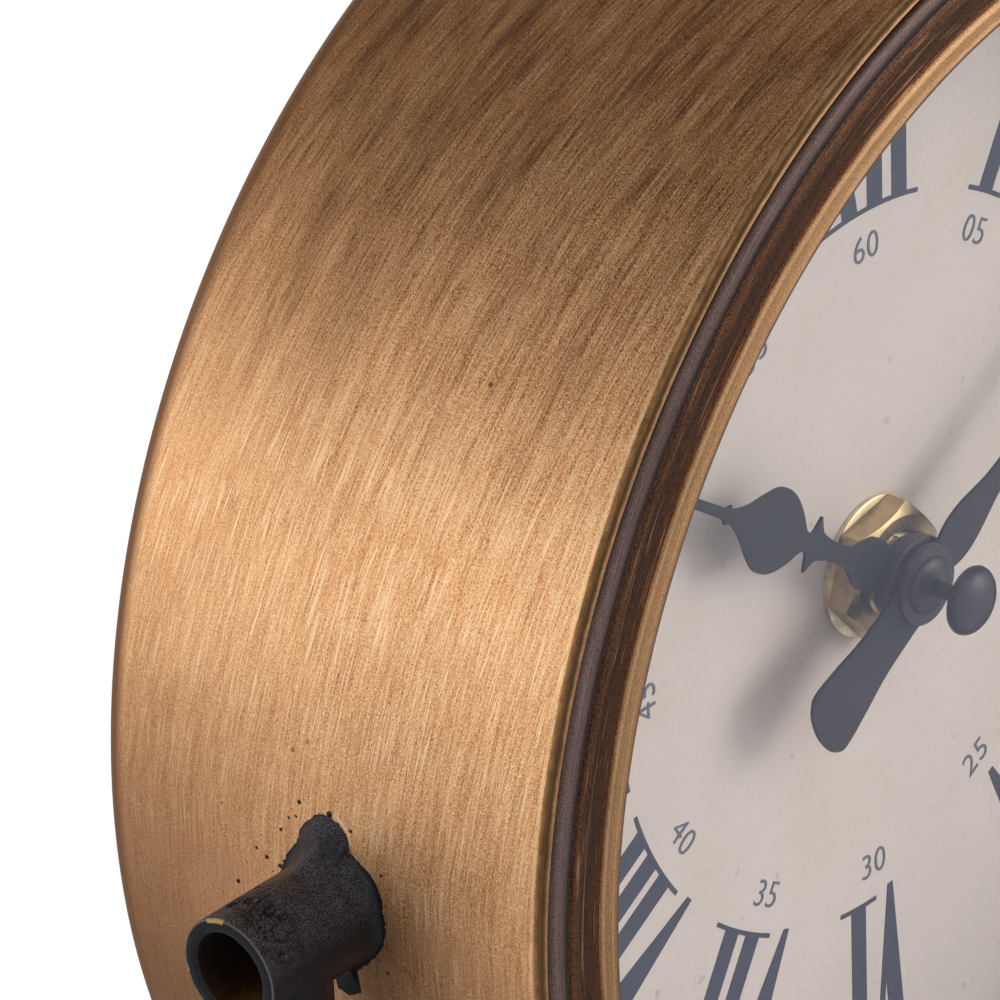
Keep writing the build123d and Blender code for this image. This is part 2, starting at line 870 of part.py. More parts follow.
with BuildPart() as circuit_board:
    with BuildSketch(facing(board_back)):
        with Locations(board_place):
            Rectangle(board_length, board_height)
    extrude(amount=board_thickness)
    with BuildSketch(facing(board_back)):
        with Locations(board_place):
            Circle(chip_radius)
    extrude(amount=-chip_height)
    fillet(circuit_board.edges().group_by(Axis.Y)[-1], chip_height / 2)
write(circuit_board, "circuit_board")

with BuildPart() as quartz_crystal:
    with BuildSketch(Plane.YZ.offset(-board_length / 4 - crystal_length / 2)):
        with Locations((y_at(board_back - board_thickness) - crystal_radius, axis_height + board_place[1])):
            Circle(crystal_radius)
    extrude(amount=crystal_length)
write(quartz_crystal, "quartz_crystal")

fifth_place = polar(fifth_distance, fifth_angle)
rotor_place = shifted(fifth_place, polar(rotor_distance, rotor_angle))
stator_hole_radius = rotor_magnet_radius + stator_gap
stator_half_width = stator_hole_radius + stator_bridge
coil_position = (rotor_place[0] + stator_half_width + board_length / 2) / 2
core_back = stator_front
coil_middle = core_back - coil_core_thickness / 2
core_bottom = coil_drop_gap - bay_drop
core_top = core_bottom + coil_length + 2 * (bobbin_flange_thickness + stator_bar)
coil_middle_height = (core_bottom + core_top) / 2
core_place = (coil_position, coil_middle_height)

with BuildPart() as coil_core:
    with BuildSketch(facing(core_back)):
        with Locations(core_place):
            Rectangle(coil_core_width, core_top - core_bottom)
    extrude(amount=coil_core_thickness)
write(coil_core, "coil_core")

with BuildPart() as coil_winding:
    with BuildSketch(Plane.XY.offset(axis_height + coil_middle_height - coil_length / 2)):
        with Locations((coil_position, y_at(coil_middle))):
            Circle(coil_radius)
    extrude(amount=coil_length)
    with BuildSketch(
        Plane.XY.offset(axis_height + coil_middle_height - coil_length / 2 - bobbin_flange_thickness)
    ):
        with Locations((coil_position, y_at(coil_middle))):
            Circle(bobbin_flange_radius)
    extrude(amount=bobbin_flange_thickness)
    with BuildSketch(Plane.XY.offset(axis_height + coil_middle_height + coil_length / 2)):
        with Locations((coil_position, y_at(coil_middle))):
            Circle(bobbin_flange_radius)
    extrude(amount=bobbin_flange_thickness)
    with BuildSketch(facing(core_back)):
        with Locations(core_place):
            Rectangle(coil_core_width, core_top - core_bottom)
    extrude(amount=coil_core_thickness, mode=Mode.SUBTRACT)
write(coil_winding, "coil_winding")

stator_reach = coil_position + coil_core_width / 2

with BuildPart() as stator_plate:
    with BuildSketch(facing(stator_front + stator_thickness)):
        with Locations((rotor_place[0], (core_top + core_bottom) / 2)):
            Rectangle(2 * stator_half_width, core_top - core_bottom)
        with Locations((rotor_place[0], core_bottom + stator_bar / 2)):
            Rectangle(stator_reach - rotor_place[0], stator_bar, align=(Align.MIN, Align.CENTER))
        with Locations((rotor_place[0], core_top - stator_bar / 2)):
            Rectangle(stator_reach - rotor_place[0], stator_bar, align=(Align.MIN, Align.CENTER))
        with Locations(rotor_place):
            Circle(stator_hole_radius, mode=Mode.SUBTRACT)
    extrude(amount=stator_thickness)
write(stator_plate, "stator_plate")

# Fixed pins that the offset wheels turn on

motion_place = polar(motion_distance, motion_angle)
third_place = polar(third_distance, third_angle)

with BuildPart() as train_pins:
    for place, front, back in (
        (motion_place, movement_inside, motion_layer + wheel_thickness + layer_overlap),
        (third_place, movement_inside, movement_back),
        (fifth_place, seconds_layer - layer_overlap, movement_back),
        (rotor_place, fifth_layer - layer_overlap, movement_back),
    ):
        extrude(ring_face(back, pin_radius, place=place), amount=back - front)
write(train_pins, "train_pins")

# Moving pieces: each gear pair's module follows from its distance and its teeth

bore_radius = pin_radius + running_clearance
cannon_module = 2 * motion_distance / (cannon_teeth + motion_wheel_teeth)
hour_module = 2 * motion_distance / (motion_pinion_teeth + hour_wheel_teeth)
third_module = 2 * third_distance / (third_pinion_teeth + centre_wheel_teeth)
seconds_module = 2 * third_distance / (seconds_pinion_teeth + third_wheel_teeth)
fifth_module = 2 * fifth_distance / (fifth_pinion_teeth + seconds_wheel_teeth)
rotor_module = 2 * rotor_distance / (rotor_pinion_teeth + fifth_wheel_teeth)


def space_towards(teeth, direction):
    """Angle of a tooth, such that a gap between two teeth faces a direction."""
    return direction + 180 / teeth


hour_tube_bore = hour_tube_radius - hour_tube_wall

with BuildPart() as hour_wheel:
    extrude(
        gear_face(
            hour_layer + wheel_thickness,
            hour_wheel_teeth,
            hour_module,
            wheel_tooth_shares,
            space_towards(hour_wheel_teeth, motion_angle),
            hour_tube_bore,
        ),
        amount=wheel_thickness,
    )
    extrude(
        ring_face(hour_layer + wheel_thickness, hour_tube_radius, hour_tube_bore),
        amount=hour_layer + wheel_thickness - hour_tube_front,
    )
write(hour_wheel, "hour_wheel")

with BuildPart() as hour_hand:
    extrude(
        hand_face(hour_hand_back, hour_hand_angle, hour_hand_length, hour_hand_shares, hour_hub_radius),
        amount=hand_thickness,
    )
    extrude(ring_face(hour_hand_back, hour_hub_radius), amount=hour_hub_height)
    extrude(ring_face(hour_hand_back, hour_tube_radius), amount=hour_hub_height, mode=Mode.SUBTRACT)
write(hour_hand, "hour_hand")

cannon_back = centre_layer + wheel_thickness

with BuildPart() as cannon_pinion:
    extrude(
        gear_face(
            motion_layer + wheel_thickness,
            cannon_teeth,
            cannon_module,
            pinion_tooth_shares,
            motion_angle,
            cannon_bore_radius,
        ),
        amount=wheel_thickness,
    )
    extrude(
        ring_face(motion_layer, cannon_radius, cannon_bore_radius),
        amount=motion_layer - cannon_front,
    )
    extrude(
        ring_face(cannon_back, centre_hub_radius, cannon_bore_radius),
        amount=cannon_back - motion_layer,
    )
write(cannon_pinion, "cannon_pinion")

with BuildPart() as minute_hand:
    extrude(
        hand_face(
            minute_hand_back, minute_hand_angle, minute_hand_length, minute_hand_shares, minute_hub_radius
        ),
        amount=hand_thickness,
    )
    extrude(
        hand_face(
            minute_hand_back,
            minute_hand_angle + 180,
            minute_tail_length,
            minute_tail_shares,
            minute_hub_radius,
        ),
        amount=hand_thickness,
    )
    with BuildSketch(Plane.YZ):
        with BuildLine():
            dome_start = section(cannon_front, minute_hub_radius)
            dome_end = section(cannon_front - minute_dome_height, cannon_bore_radius)
            dome = TangentArc(dome_end, dome_start, tangent=(0, 1))
            Polyline(
                dome @ 1,
                section(minute_hand_back, minute_hub_radius),
                section(minute_hand_back, cannon_bore_radius),
                dome @ 0,
            )
        make_face()
    revolve(axis=clock_axis)
    extrude(ring_face(minute_hand_back, cannon_radius), amount=minute_hub_height, mode=Mode.SUBTRACT)
    extrude(
        ring_face(minute_hand_back, cannon_bore_radius),
        amount=minute_hub_height + minute_dome_height + overrun,
        mode=Mode.SUBTRACT,
    )
write(minute_hand, "minute_hand")

with BuildPart() as motion_wheel:
    extrude(
        gear_face(
            motion_layer + wheel_thickness,
            motion_wheel_teeth,
            cannon_module,
            wheel_tooth_shares,
            space_towards(motion_wheel_teeth, motion_angle),
            bore_radius,
            motion_place,
        ),
        amount=wheel_thickness,
    )
    extrude(
        gear_face(
            motion_layer,
            motion_pinion_teeth,
            hour_module,
            pinion_tooth_shares,
            motion_angle,
            bore_radius,
            motion_place,
        ),
        amount=motion_layer - hour_layer,
    )
write(motion_wheel, "motion_wheel")

knob_front = movement_cover_back + knob_gap
knob_back = knob_front + knob_thickness

with BuildPart() as setting_knob:
    extrude(
        gear_face(
            motion_layer + wheel_thickness,
            setting_pinion_teeth,
            cannon_module,
            pinion_tooth_shares,
            motion_angle,
            knob_shaft_radius / 2,
            knob_place,
        ),
        amount=wheel_thickness,
    )
    extrude(
        ring_face(knob_front, knob_shaft_radius, place=knob_place),
        amount=knob_front - movement_inside - seat_clearance,
    )
    extrude(ring_face(knob_back, knob_radius, place=knob_place), amount=knob_thickness)
    with BuildSketch(facing(knob_back)):
        with Locations(knob_place):
            with PolarLocations(knob_radius, knob_notches):
                Circle(knob_notch_radius)
    extrude(amount=knob_thickness, mode=Mode.SUBTRACT)
write(setting_knob, "setting_knob")

with BuildPart() as seconds_wheel:
    extrude(
        gear_face(
            seconds_layer + wheel_thickness,
            seconds_wheel_teeth,
            fifth_module,
            wheel_tooth_shares,
            space_towards(seconds_wheel_teeth, fifth_angle),
            arbor_radius,
        ),
        amount=wheel_thickness,
    )
    extrude(
        gear_face(
            seconds_layer,
            seconds_pinion_teeth,
            seconds_module,
            pinion_tooth_shares,
            third_angle,
            arbor_radius / 2,
        ),
        amount=seconds_layer - third_layer + layer_overlap,
    )
    extrude(ring_face(movement_cover_back, arbor_radius), amount=movement_cover_back - neck_front)
write(seconds_wheel, "seconds_wheel")

with BuildPart() as arbor_cap:
    extrude(ring_face(neck_back, neck_radius), amount=neck_back - neck_front)
    with BuildSketch(Plane.YZ):
        with BuildLine():
            cap_dome_arc = TangentArc(
                section(neck_front - cap_edge - cap_dome, 0),
                section(neck_front - cap_edge, cap_radius),
                tangent=(0, 1),
            )
            Polyline(
                cap_dome_arc @ 1,
                section(neck_front, cap_radius - cap_edge),
                section(neck_front, 0),
                cap_dome_arc @ 0,
            )
        make_face()
    revolve(axis=clock_axis)
    extrude(ring_face(neck_back, arbor_radius), amount=neck_back - neck_front, mode=Mode.SUBTRACT)
write(arbor_cap, "arbor_cap")

with BuildPart() as third_wheel:
    extrude(
        gear_face(
            third_layer + wheel_thickness,
            third_wheel_teeth,
            seconds_module,
            wheel_tooth_shares,
            space_towards(third_wheel_teeth, third_angle + 180),
            bore_radius,
            third_place,
        ),
        amount=wheel_thickness,
    )
    extrude(
        gear_face(
            third_layer,
            third_pinion_teeth,
            third_module,
            pinion_tooth_shares,
            third_angle + 180,
            bore_radius,
            third_place,
        ),
        amount=third_layer - centre_layer,
    )
write(third_wheel, "third_wheel")

with BuildPart() as centre_wheel:
    extrude(
        gear_face(
            centre_layer + wheel_thickness,
            centre_wheel_teeth,
            third_module,
            wheel_tooth_shares,
            space_towards(centre_wheel_teeth, third_angle),
            centre_hub_radius + running_clearance,
        ),
        amount=wheel_thickness,
    )
write(centre_wheel, "centre_wheel")

with BuildPart() as fifth_wheel:
    extrude(
        gear_face(
            fifth_layer + wheel_thickness,
            fifth_wheel_teeth,
            rotor_module,
            wheel_tooth_shares,
            space_towards(fifth_wheel_teeth, rotor_angle),
            bore_radius,
            fifth_place,
        ),
        amount=wheel_thickness,
    )
    extrude(
        gear_face(
            fifth_layer,
            fifth_pinion_teeth,
            fifth_module,
            pinion_tooth_shares,
            fifth_angle + 180,
            bore_radius,
            fifth_place,
        ),
        amount=fifth_layer - seconds_layer,
    )
write(fifth_wheel, "fifth_wheel")

with BuildPart() as rotor_pinion:
    extrude(
        gear_face(
            rotor_magnet_front,
            rotor_pinion_teeth,
            rotor_module,
            pinion_tooth_shares,
            rotor_angle + 180,
            bore_radius,
            rotor_place,
        ),
        amount=rotor_magnet_front - fifth_layer,
    )
write(rotor_pinion, "rotor_pinion")

with BuildPart() as rotor_magnet:
    extrude(
        ring_face(rotor_magnet_front + rotor_magnet_length, rotor_magnet_radius, bore_radius, rotor_place),
        amount=rotor_magnet_length,
    )
write(rotor_magnet, "rotor_magnet")
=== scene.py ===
import random
from math import cos, degrees, exp, pi, radians, sin, sqrt

import bmesh
import bpy
from mathutils import Matrix, Vector, noise


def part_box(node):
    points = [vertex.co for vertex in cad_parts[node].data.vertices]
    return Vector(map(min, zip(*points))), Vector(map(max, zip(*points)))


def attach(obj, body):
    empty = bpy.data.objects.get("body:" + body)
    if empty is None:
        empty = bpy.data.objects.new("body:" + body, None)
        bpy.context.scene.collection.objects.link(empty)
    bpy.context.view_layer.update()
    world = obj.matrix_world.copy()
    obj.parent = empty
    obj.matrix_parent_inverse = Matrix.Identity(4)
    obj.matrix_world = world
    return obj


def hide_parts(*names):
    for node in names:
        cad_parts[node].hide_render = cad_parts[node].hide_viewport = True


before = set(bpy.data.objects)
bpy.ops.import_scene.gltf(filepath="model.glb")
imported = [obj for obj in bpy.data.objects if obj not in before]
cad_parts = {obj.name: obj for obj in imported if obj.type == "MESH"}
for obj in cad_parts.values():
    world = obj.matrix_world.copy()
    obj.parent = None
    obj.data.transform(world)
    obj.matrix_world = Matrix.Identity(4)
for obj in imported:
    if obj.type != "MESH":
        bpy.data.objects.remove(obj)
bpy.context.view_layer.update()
random.seed(7)

# Sizes are written in millimetres, depths behind the front rim, and angles clockwise from twelve.
MM = 0.001
CASE = "case_and_stand"
shell_low, shell_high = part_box("drum_shell")
AXIS = (shell_low.z + shell_high.z) / 2
SETBACK = -shell_low.y / MM
RIM = (shell_high.x - shell_low.x) / 2 / MM
INSIDE = RIM - 1.4
CASE_BACK = (shell_high.y - shell_low.y) / MM
# The case's full radius, which RIM falls short of because it is measured on flat faces
CASE_RADIUS = 75.0
LIP_RADIUS = 66.2


def behind(depth):
    """Where a depth lies along Y."""
    return (depth - SETBACK) * MM


def place(depth, across, up):
    return Vector((across * MM, behind(depth), AXIS + up * MM))


def polar(radius, angle):
    """Across and up of a point at an angle clockwise from twelve."""
    return radius * sin(angle), radius * cos(angle)


def swung(depth, across, up, turn):
    """A point given upright at twelve, placed after a clockwise turn round the axis."""
    x = across * cos(turn) + up * sin(turn)
    z = up * cos(turn) - across * sin(turn)
    return place(depth, x, z)


def depths(node):
    """How far a node's front and back lie behind the front rim."""
    low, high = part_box(node)
    return round(low.y / MM + SETBACK, 3), round(high.y / MM + SETBACK, 3)


FACE = depths("dial_plate")[0]
NUT_FRONT, NUT_BACK = depths("brass_nut")
BUSHING_FRONT, BUSHING_BACK = depths("threaded_bushing")
HOUR_FRONT, HOUR_BACK = depths("hour_hand")
MINUTE_FRONT, MINUTE_BACK = depths("minute_hand")
CAP_FRONT, NECK_BACK = depths("arbor_cap")
# The thickness of a hand's blade
PLATE = 0.35
# The side tubes' radius, and how far out from the middle they end
tube_low, tube_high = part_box("side_tube_left")
TUBE = (tube_high.z - tube_low.z) / 2 / MM
END = -tube_low.x / MM


def linear(level):
    share = level / 255
    return share / 12.92 if level < 11 else ((share + 0.055) / 1.055) ** 2.4


def srgb(red, green, blue):
    return linear(red), linear(green), linear(blue)


# Materials


class Graph:
    """A node material, built one socket at a time."""

    def __init__(self, name):
        self.material = bpy.data.materials.new(name)
        self.material.use_nodes = True
        self.tree = self.material.node_tree
        self.shader = self.tree.nodes["Principled BSDF"]
        self.output = self.tree.nodes["Material Output"]
        where = self.node("TexCoord").outputs["Object"]
        self.centred = self.vector("ADD", where, (0, 0, -AXIS))

    def node(self, kind, values=(), **settings):
        """A shader node with these values on its sockets, given in order or by name."""
        made = self.tree.nodes.new("ShaderNode" + kind)
        for key, value in settings.items():
            setattr(made, key, value)
        for key, value in values.items() if isinstance(values, dict) else enumerate(values):
            self.put(made.inputs[key], value)
        return made

    def put(self, socket, value):
        if isinstance(value, bpy.types.NodeSocket):
            self.tree.links.new(value, socket)
        elif isinstance(value, tuple) and len(value) == 3 and socket.type == "RGBA":
            socket.default_value = (*value, 1)
        else:
            socket.default_value = value

    def set(self, **values):
        for key, value in values.items():
            self.put(self.shader.inputs[key.replace("_", " ")], value)

    def vector(self, operation, first, second):
        return self.node("VectorMath", (first, second), operation=operation).outputs[0]

    def math(self, operation, first, second=0.0):
        return self.node("Math", (first, second), operation=operation).outputs[0]

    def times(self, first, second):
        return self.math("MULTIPLY", first, second)

    def plus(self, first, second):
        return self.math("ADD", first, second)

    def minus(self, first, second):
        return self.math("SUBTRACT", first, second)

    def swing(self, value, reach):
        """A value that varies about a half, made to vary about zero."""
        return self.times(self.minus(value, 0.5), reach)

    def near(self, value, middle, full, none):
        """One within full of the middle, fading to zero at none."""
        return self.spread(self.math("ABSOLUTE", self.minus(value, middle)), full, none, 1, 0)

    def part(self, axis, value=None):
        return self.node("SeparateXYZ", (value or self.centred,)).outputs[axis]

    def point(self, x, y, z):
        return self.node("CombineXYZ", (x, y, z)).outputs[0]

    def length(self, value):
        return self.node("VectorMath", (value,), operation="LENGTH").outputs["Value"]

    def radius(self):
        return self.length(self.vector("MULTIPLY", self.centred, (1, 0, 1)))

    def noise(self, scale, detail=3, rough=0.55, where=None):
        where = where or self.centred
        if isinstance(scale, tuple):
            where, scale = self.vector("MULTIPLY", where, scale), 1
        values = {"Vector": where, "Scale": scale, "Detail": detail, "Roughness": rough}
        return self.node("TexNoise", values).outputs[0]

    def cells(self, scale):
        return self.node("TexVoronoi", {"Vector": self.centred, "Scale": scale}).outputs["Distance"]

    def spread(self, value, low, high, new_low=0.0, new_high=1.0):
        values = {"Value": value, "From Min": low, "From Max": high, "To Min": new_low, "To Max": new_high}
        return self.node("MapRange", values).outputs[0]

    def ramp(self, value, *stops):
        made = self.node("ValToRGB", (value,))
        while len(made.color_ramp.elements) < len(stops):
            made.color_ramp.elements.new(1)
        for element, (position, colour) in zip(made.color_ramp.elements, stops):
            element.position = position
            element.color = (*colour, 1)
        return made.outputs[0]

    def mix(self, factor, first, second, blend="MIX"):
        values = {0: factor, 6: first, 7: second}
        return self.node("Mix", values, data_type="RGBA", blend_type=blend).outputs[2]

    def tint(self, colour, by):
        return self.mix(1.0, colour, by, "MULTIPLY")

    def blend_surface(self, factor, first, second):
        """Give the material a mix of two shaders."""
        self.put(self.output.inputs["Surface"], self.node("MixShader", (factor, first, second)).outputs[0])

    def bump(self, height, distance, strength=1.0):
        values = {"Strength": strength, "Distance": distance * MM, "Height": height}
        self.set(Normal=self.node("Bump", values).outputs[0])


def simple(name, colour, roughness, metallic=0.0, mottle=0.12, grain=1500, bump=0.01, rough_spread=0.08):
    """A material of one colour that varies a little, with a fine surface grain."""
    g = Graph(name)
    fine = g.noise(grain, 4, 0.6)
    broad = g.noise(60, 3)
    both = g.times(g.plus(fine, broad), 0.5)
    dark = tuple(v * (1 - mottle) for v in colour)
    light = tuple(min(1, v * (1 + mottle)) for v in colour)
    g.set(Base_Color=g.ramp(both, (0.35, dark), (0.65, light)))
    g.set(Roughness=g.spread(both, 0.3, 0.7, roughness - rough_spread, roughness + rough_spread))
    g.set(Metallic=metallic)
    g.bump(fine, bump)
    return g.material


GRAIN = (6200, 8200, 6200)


def leaning(g, slope):
    """Positions skewed round the upper part of the clock, where the brush marks run aslant."""
    turn = g.math("ARCTAN2", g.part("X"), g.part("Z"))
    held = g.math("MINIMUM", g.math("MAXIMUM", turn, -1.5), 1.5)
    return g.point(g.part("X"), g.plus(g.part("Y"), g.times(held, slope)), g.part("Z"))


def barrel_material():
    """Brushed bronze, streakier and stained towards the top, with painted shade over the top and the lower
    half.
    """
    g = Graph("antique_bronze_brushed")
    height, depth = g.part("Z"), g.part("Y")
    slanted = leaning(g, 0.009)
    grain = g.noise(GRAIN, 1, 0.5)
    fine = g.noise((210, 5200, 210), 2, 0.6, slanted)
    broad = g.noise((70, 900, 70), 3, 0.6, slanted)
    total = g.swing(grain, g.spread(height, -0.03, 0.035, 0.26, 0.5))
    streaks = g.swing(fine, g.spread(height, -0.02, 0.045, 0.1, 0.4))
    bands = g.swing(broad, g.spread(height, -0.03, 0.05, 0.06, 0.16))
    total = g.plus(g.plus(total, streaks), bands)
    total = g.plus(g.times(total, g.spread(depth, -0.005, 0.02, 1, 0.72)), 0.5)
    colour = g.ramp(
        total,
        (0.35, srgb(138, 88, 58)), (0.44, srgb(194, 142, 98)), (0.53, srgb(232, 183, 134)),
        (0.64, srgb(255, 230, 184)),
    )
    colour = g.tint(colour, g.spread(g.noise(26, 4, 0.6), 0.35, 0.65, 0.94, 1.07))

    # Stains and pale hairlines
    stain = g.spread(g.noise((60, 420, 60), 5, 0.7, slanted), 0.46, 0.64)
    stain = g.times(stain, g.spread(height, 0.034, 0.066, 0.0, 0.66))
    colour = g.mix(stain, colour, g.mix(grain, srgb(74, 42, 31), srgb(132, 86, 60)))
    pale = g.mix(g.spread(height, 0.02, 0.06), srgb(255, 236, 194), srgb(236, 176, 118))
    strength = g.spread(height, -0.012, 0.03, 0.08, 0.8)
    for slope, scale, rarity in ((0.013, 5400, 0.665), (0.005, 6400, 0.665), (0.009, 4500, 0.675)):
        hair = g.spread(g.noise((150, scale, 150), 1, 0.5, leaning(g, slope)), rarity, rarity + 0.04)
        colour = g.mix(g.times(hair, strength), colour, pale)

    # Painted shade: darker over the top, over the lower half, and most at the lower half's rear
    high = g.mix(g.spread(height, 0.036, 0.068), (1.0, 0.985, 0.985), (0.9, 0.78, 0.69))
    below = g.mix(g.spread(height, -0.03, 0.03), (0.94, 0.87, 0.85), (1.0, 1.0, 1.0))
    colour = g.tint(g.tint(colour, high), below)
    low = g.times(g.spread(height, -0.016, 0.02, 1, 0), g.spread(depth, 0.0, 0.019))
    colour = g.mix(low, colour, g.tint(colour, (0.5, 0.46, 0.46)))

    # A bare halo in front of the weld's lobe
    beside = g.vector("SUBTRACT", g.vector("MULTIPLY", g.centred, (0, 1, 1)), (0, 0.6 * MM, 6.2 * MM))
    bare = g.near(g.length(beside), 2.95 * MM, 0.06 * MM, 0.2 * MM)
    bare = g.times(bare, g.spread(height, 6.6 * MM, 7.2 * MM))
    bare = g.times(bare, g.spread(depth, -0.9 * MM, -0.1 * MM, 1, 0))
    colour = g.mix(g.times(bare, 0.85), colour, srgb(255, 222, 190))

    # Pits, the rear edge, and wear and a polished ridge along the front edge; the ridge's bright line is
    # partly a painted highlight
    pits = g.times(g.spread(g.cells(330), 0.05, 0.1, 1, 0), g.spread(g.noise(110, 2), 0.6, 0.66))
    colour = g.mix(g.times(pits, 0.7), colour, srgb(80, 50, 34))
    rear = g.spread(depth, behind(CASE_BACK - 2.6), behind(CASE_BACK - 1.6))
    colour = g.mix(rear, colour, srgb(140, 98, 68))
    edge = g.spread(depth, behind(0), behind(0.9), 1, 0)
    worn = g.spread(g.plus(edge, g.times(g.noise(900, 4), 0.8)), 0.9, 1.15)
    colour = g.mix(g.times(worn, 0.3), colour, srgb(206, 160, 114))
    # The ridge line: worn bright metal, and partly a painted highlight where no ridge is modelled
    ridge = g.near(depth, behind(0.62), 0.08 * MM, 0.2 * MM)
    ridge = g.times(ridge, g.spread(g.noise(520, 3), 0.4, 0.55, 0.2, 0.75))
    colour = g.mix(ridge, colour, srgb(250, 208, 158))

    # The narrow front face, with painted shade darkening its channel
    across = g.plus(g.radius(), g.swing(g.noise(420, 4, 0.65), 0.5 * MM))
    rim = g.ramp(
        g.spread(across, INSIDE * MM, RIM * MM),
        (0.0, srgb(176, 134, 98)), (0.14, srgb(168, 126, 88)), (0.22, srgb(112, 84, 56)),
        (0.45, srgb(94, 70, 46)), (0.82, srgb(112, 84, 54)), (0.92, srgb(152, 114, 76)),
        (1.0, srgb(180, 136, 94)),
    )
    rim = g.tint(rim, g.mix(g.spread(total, 0.38, 0.62), (0.7, 0.68, 0.66), (1.2, 1.2, 1.2)))
    colour = g.mix(g.spread(depth, behind(0.3), behind(0.42), 1, 0), colour, rim)
    g.set(Base_Color=colour, Metallic=1.0, Roughness=g.spread(total, 0.38, 0.62, 0.44, 0.58))
    g.bump(g.minus(g.times(total, 1.3), g.times(pits, 0.8)), 0.05, 0.8)
    return g.material


def bezel_material():
    """Spun bronze in zones: a pale lip, a dark speckled face, painted shade in the groove by the outer roll,
    and a painted grey highlight on the roll.
    """
    g = Graph("antique_bronze_bezel")
    radius = g.radius()
    spun = g.point(g.part("X"), radius, g.part("Z"))
    grain = g.noise(GRAIN, 1, 0.5, spun)
    fine = g.noise((170, 3600, 170), 3, 0.65, spun)
    broad = g.noise((36, 620, 36), 3, 0.6, spun)
    total = g.plus(g.plus(g.times(grain, 0.62), g.times(fine, 0.24)), g.times(broad, 0.14))
    waver = g.swing(g.noise((140, 300, 140), 3, 0.6, spun), 0.3 * MM)
    # From the lip's opening, at 0, to the outer roll, at 1
    across = g.spread(g.plus(radius, waver), LIP_RADIUS * MM, 73.6 * MM)
    # The grey-purple from 0.83 on is a painted highlight on the outer roll, and the near-black at 0.74 to
    # 0.78 is painted shade in the groove beside it
    zones = g.ramp(
        across,
        (0.0, srgb(96, 74, 62)), (0.06, srgb(124, 98, 80)), (0.1, srgb(178, 138, 102)),
        (0.2, srgb(186, 146, 106)), (0.25, srgb(78, 50, 33)), (0.5, srgb(62, 39, 26)),
        (0.66, srgb(86, 57, 37)), (0.74, srgb(56, 40, 32)), (0.78, srgb(44, 34, 31)),
        (0.83, srgb(92, 76, 73)), (0.9, srgb(118, 100, 97)), (0.96, srgb(104, 86, 82)),
        (1.0, srgb(72, 56, 48)),
    )
    speckled = g.times(g.spread(across, 0.2, 0.27), g.spread(across, 0.76, 0.8, 1, 0.2))
    calm = g.mix(g.spread(total, 0.36, 0.64), (0.72, 0.7, 0.68), (1.22, 1.2, 1.16))
    rough = g.mix(g.spread(total, 0.4, 0.6), (0.34, 0.3, 0.3), (1.9, 1.8, 1.7))
    colour = g.tint(zones, g.mix(speckled, calm, rough))
    colour = g.tint(colour, g.spread(g.noise((3, 5200, 3), 3, 0.6, spun), 0.36, 0.64, 0.78, 1.22))
    scratch = g.times(g.near(across, 0.51, 0.005, 0.01), g.spread(g.noise(60, 3), 0.48, 0.6))
    colour = g.mix(g.times(scratch, 0.45), colour, srgb(180, 132, 90))
    hair = g.spread(g.noise((180, 6200, 180), 1, 0.5, spun), 0.66, 0.72)
    hair = g.times(hair, g.near(across, 0.45, 0.2, 0.28))
    colour = g.mix(g.times(hair, 0.6), colour, srgb(190, 140, 96))
    # Painted shade over the top of the outer roll
    shade = g.times(g.spread(g.part("Z"), 0.03, 0.065), g.spread(across, 0.76, 0.8))
    colour = g.mix(g.times(shade, 0.75), colour, g.tint(colour, (0.45, 0.42, 0.4)))
    lip = g.spread(across, 0.22, 0.3, 0.4, 0.32)
    g.set(Base_Color=colour, Metallic=0.9, Roughness=g.plus(lip, g.times(total, 0.14)))
    g.bump(g.plus(g.times(fine, 0.4), grain), 0.03, 0.7)
    return g.material


# Brass showing through at a tube's end, as (back, up, radius)
CHIPS = ((1.3, 5.1, 1.1), (5.2, -1.2, 0.7))


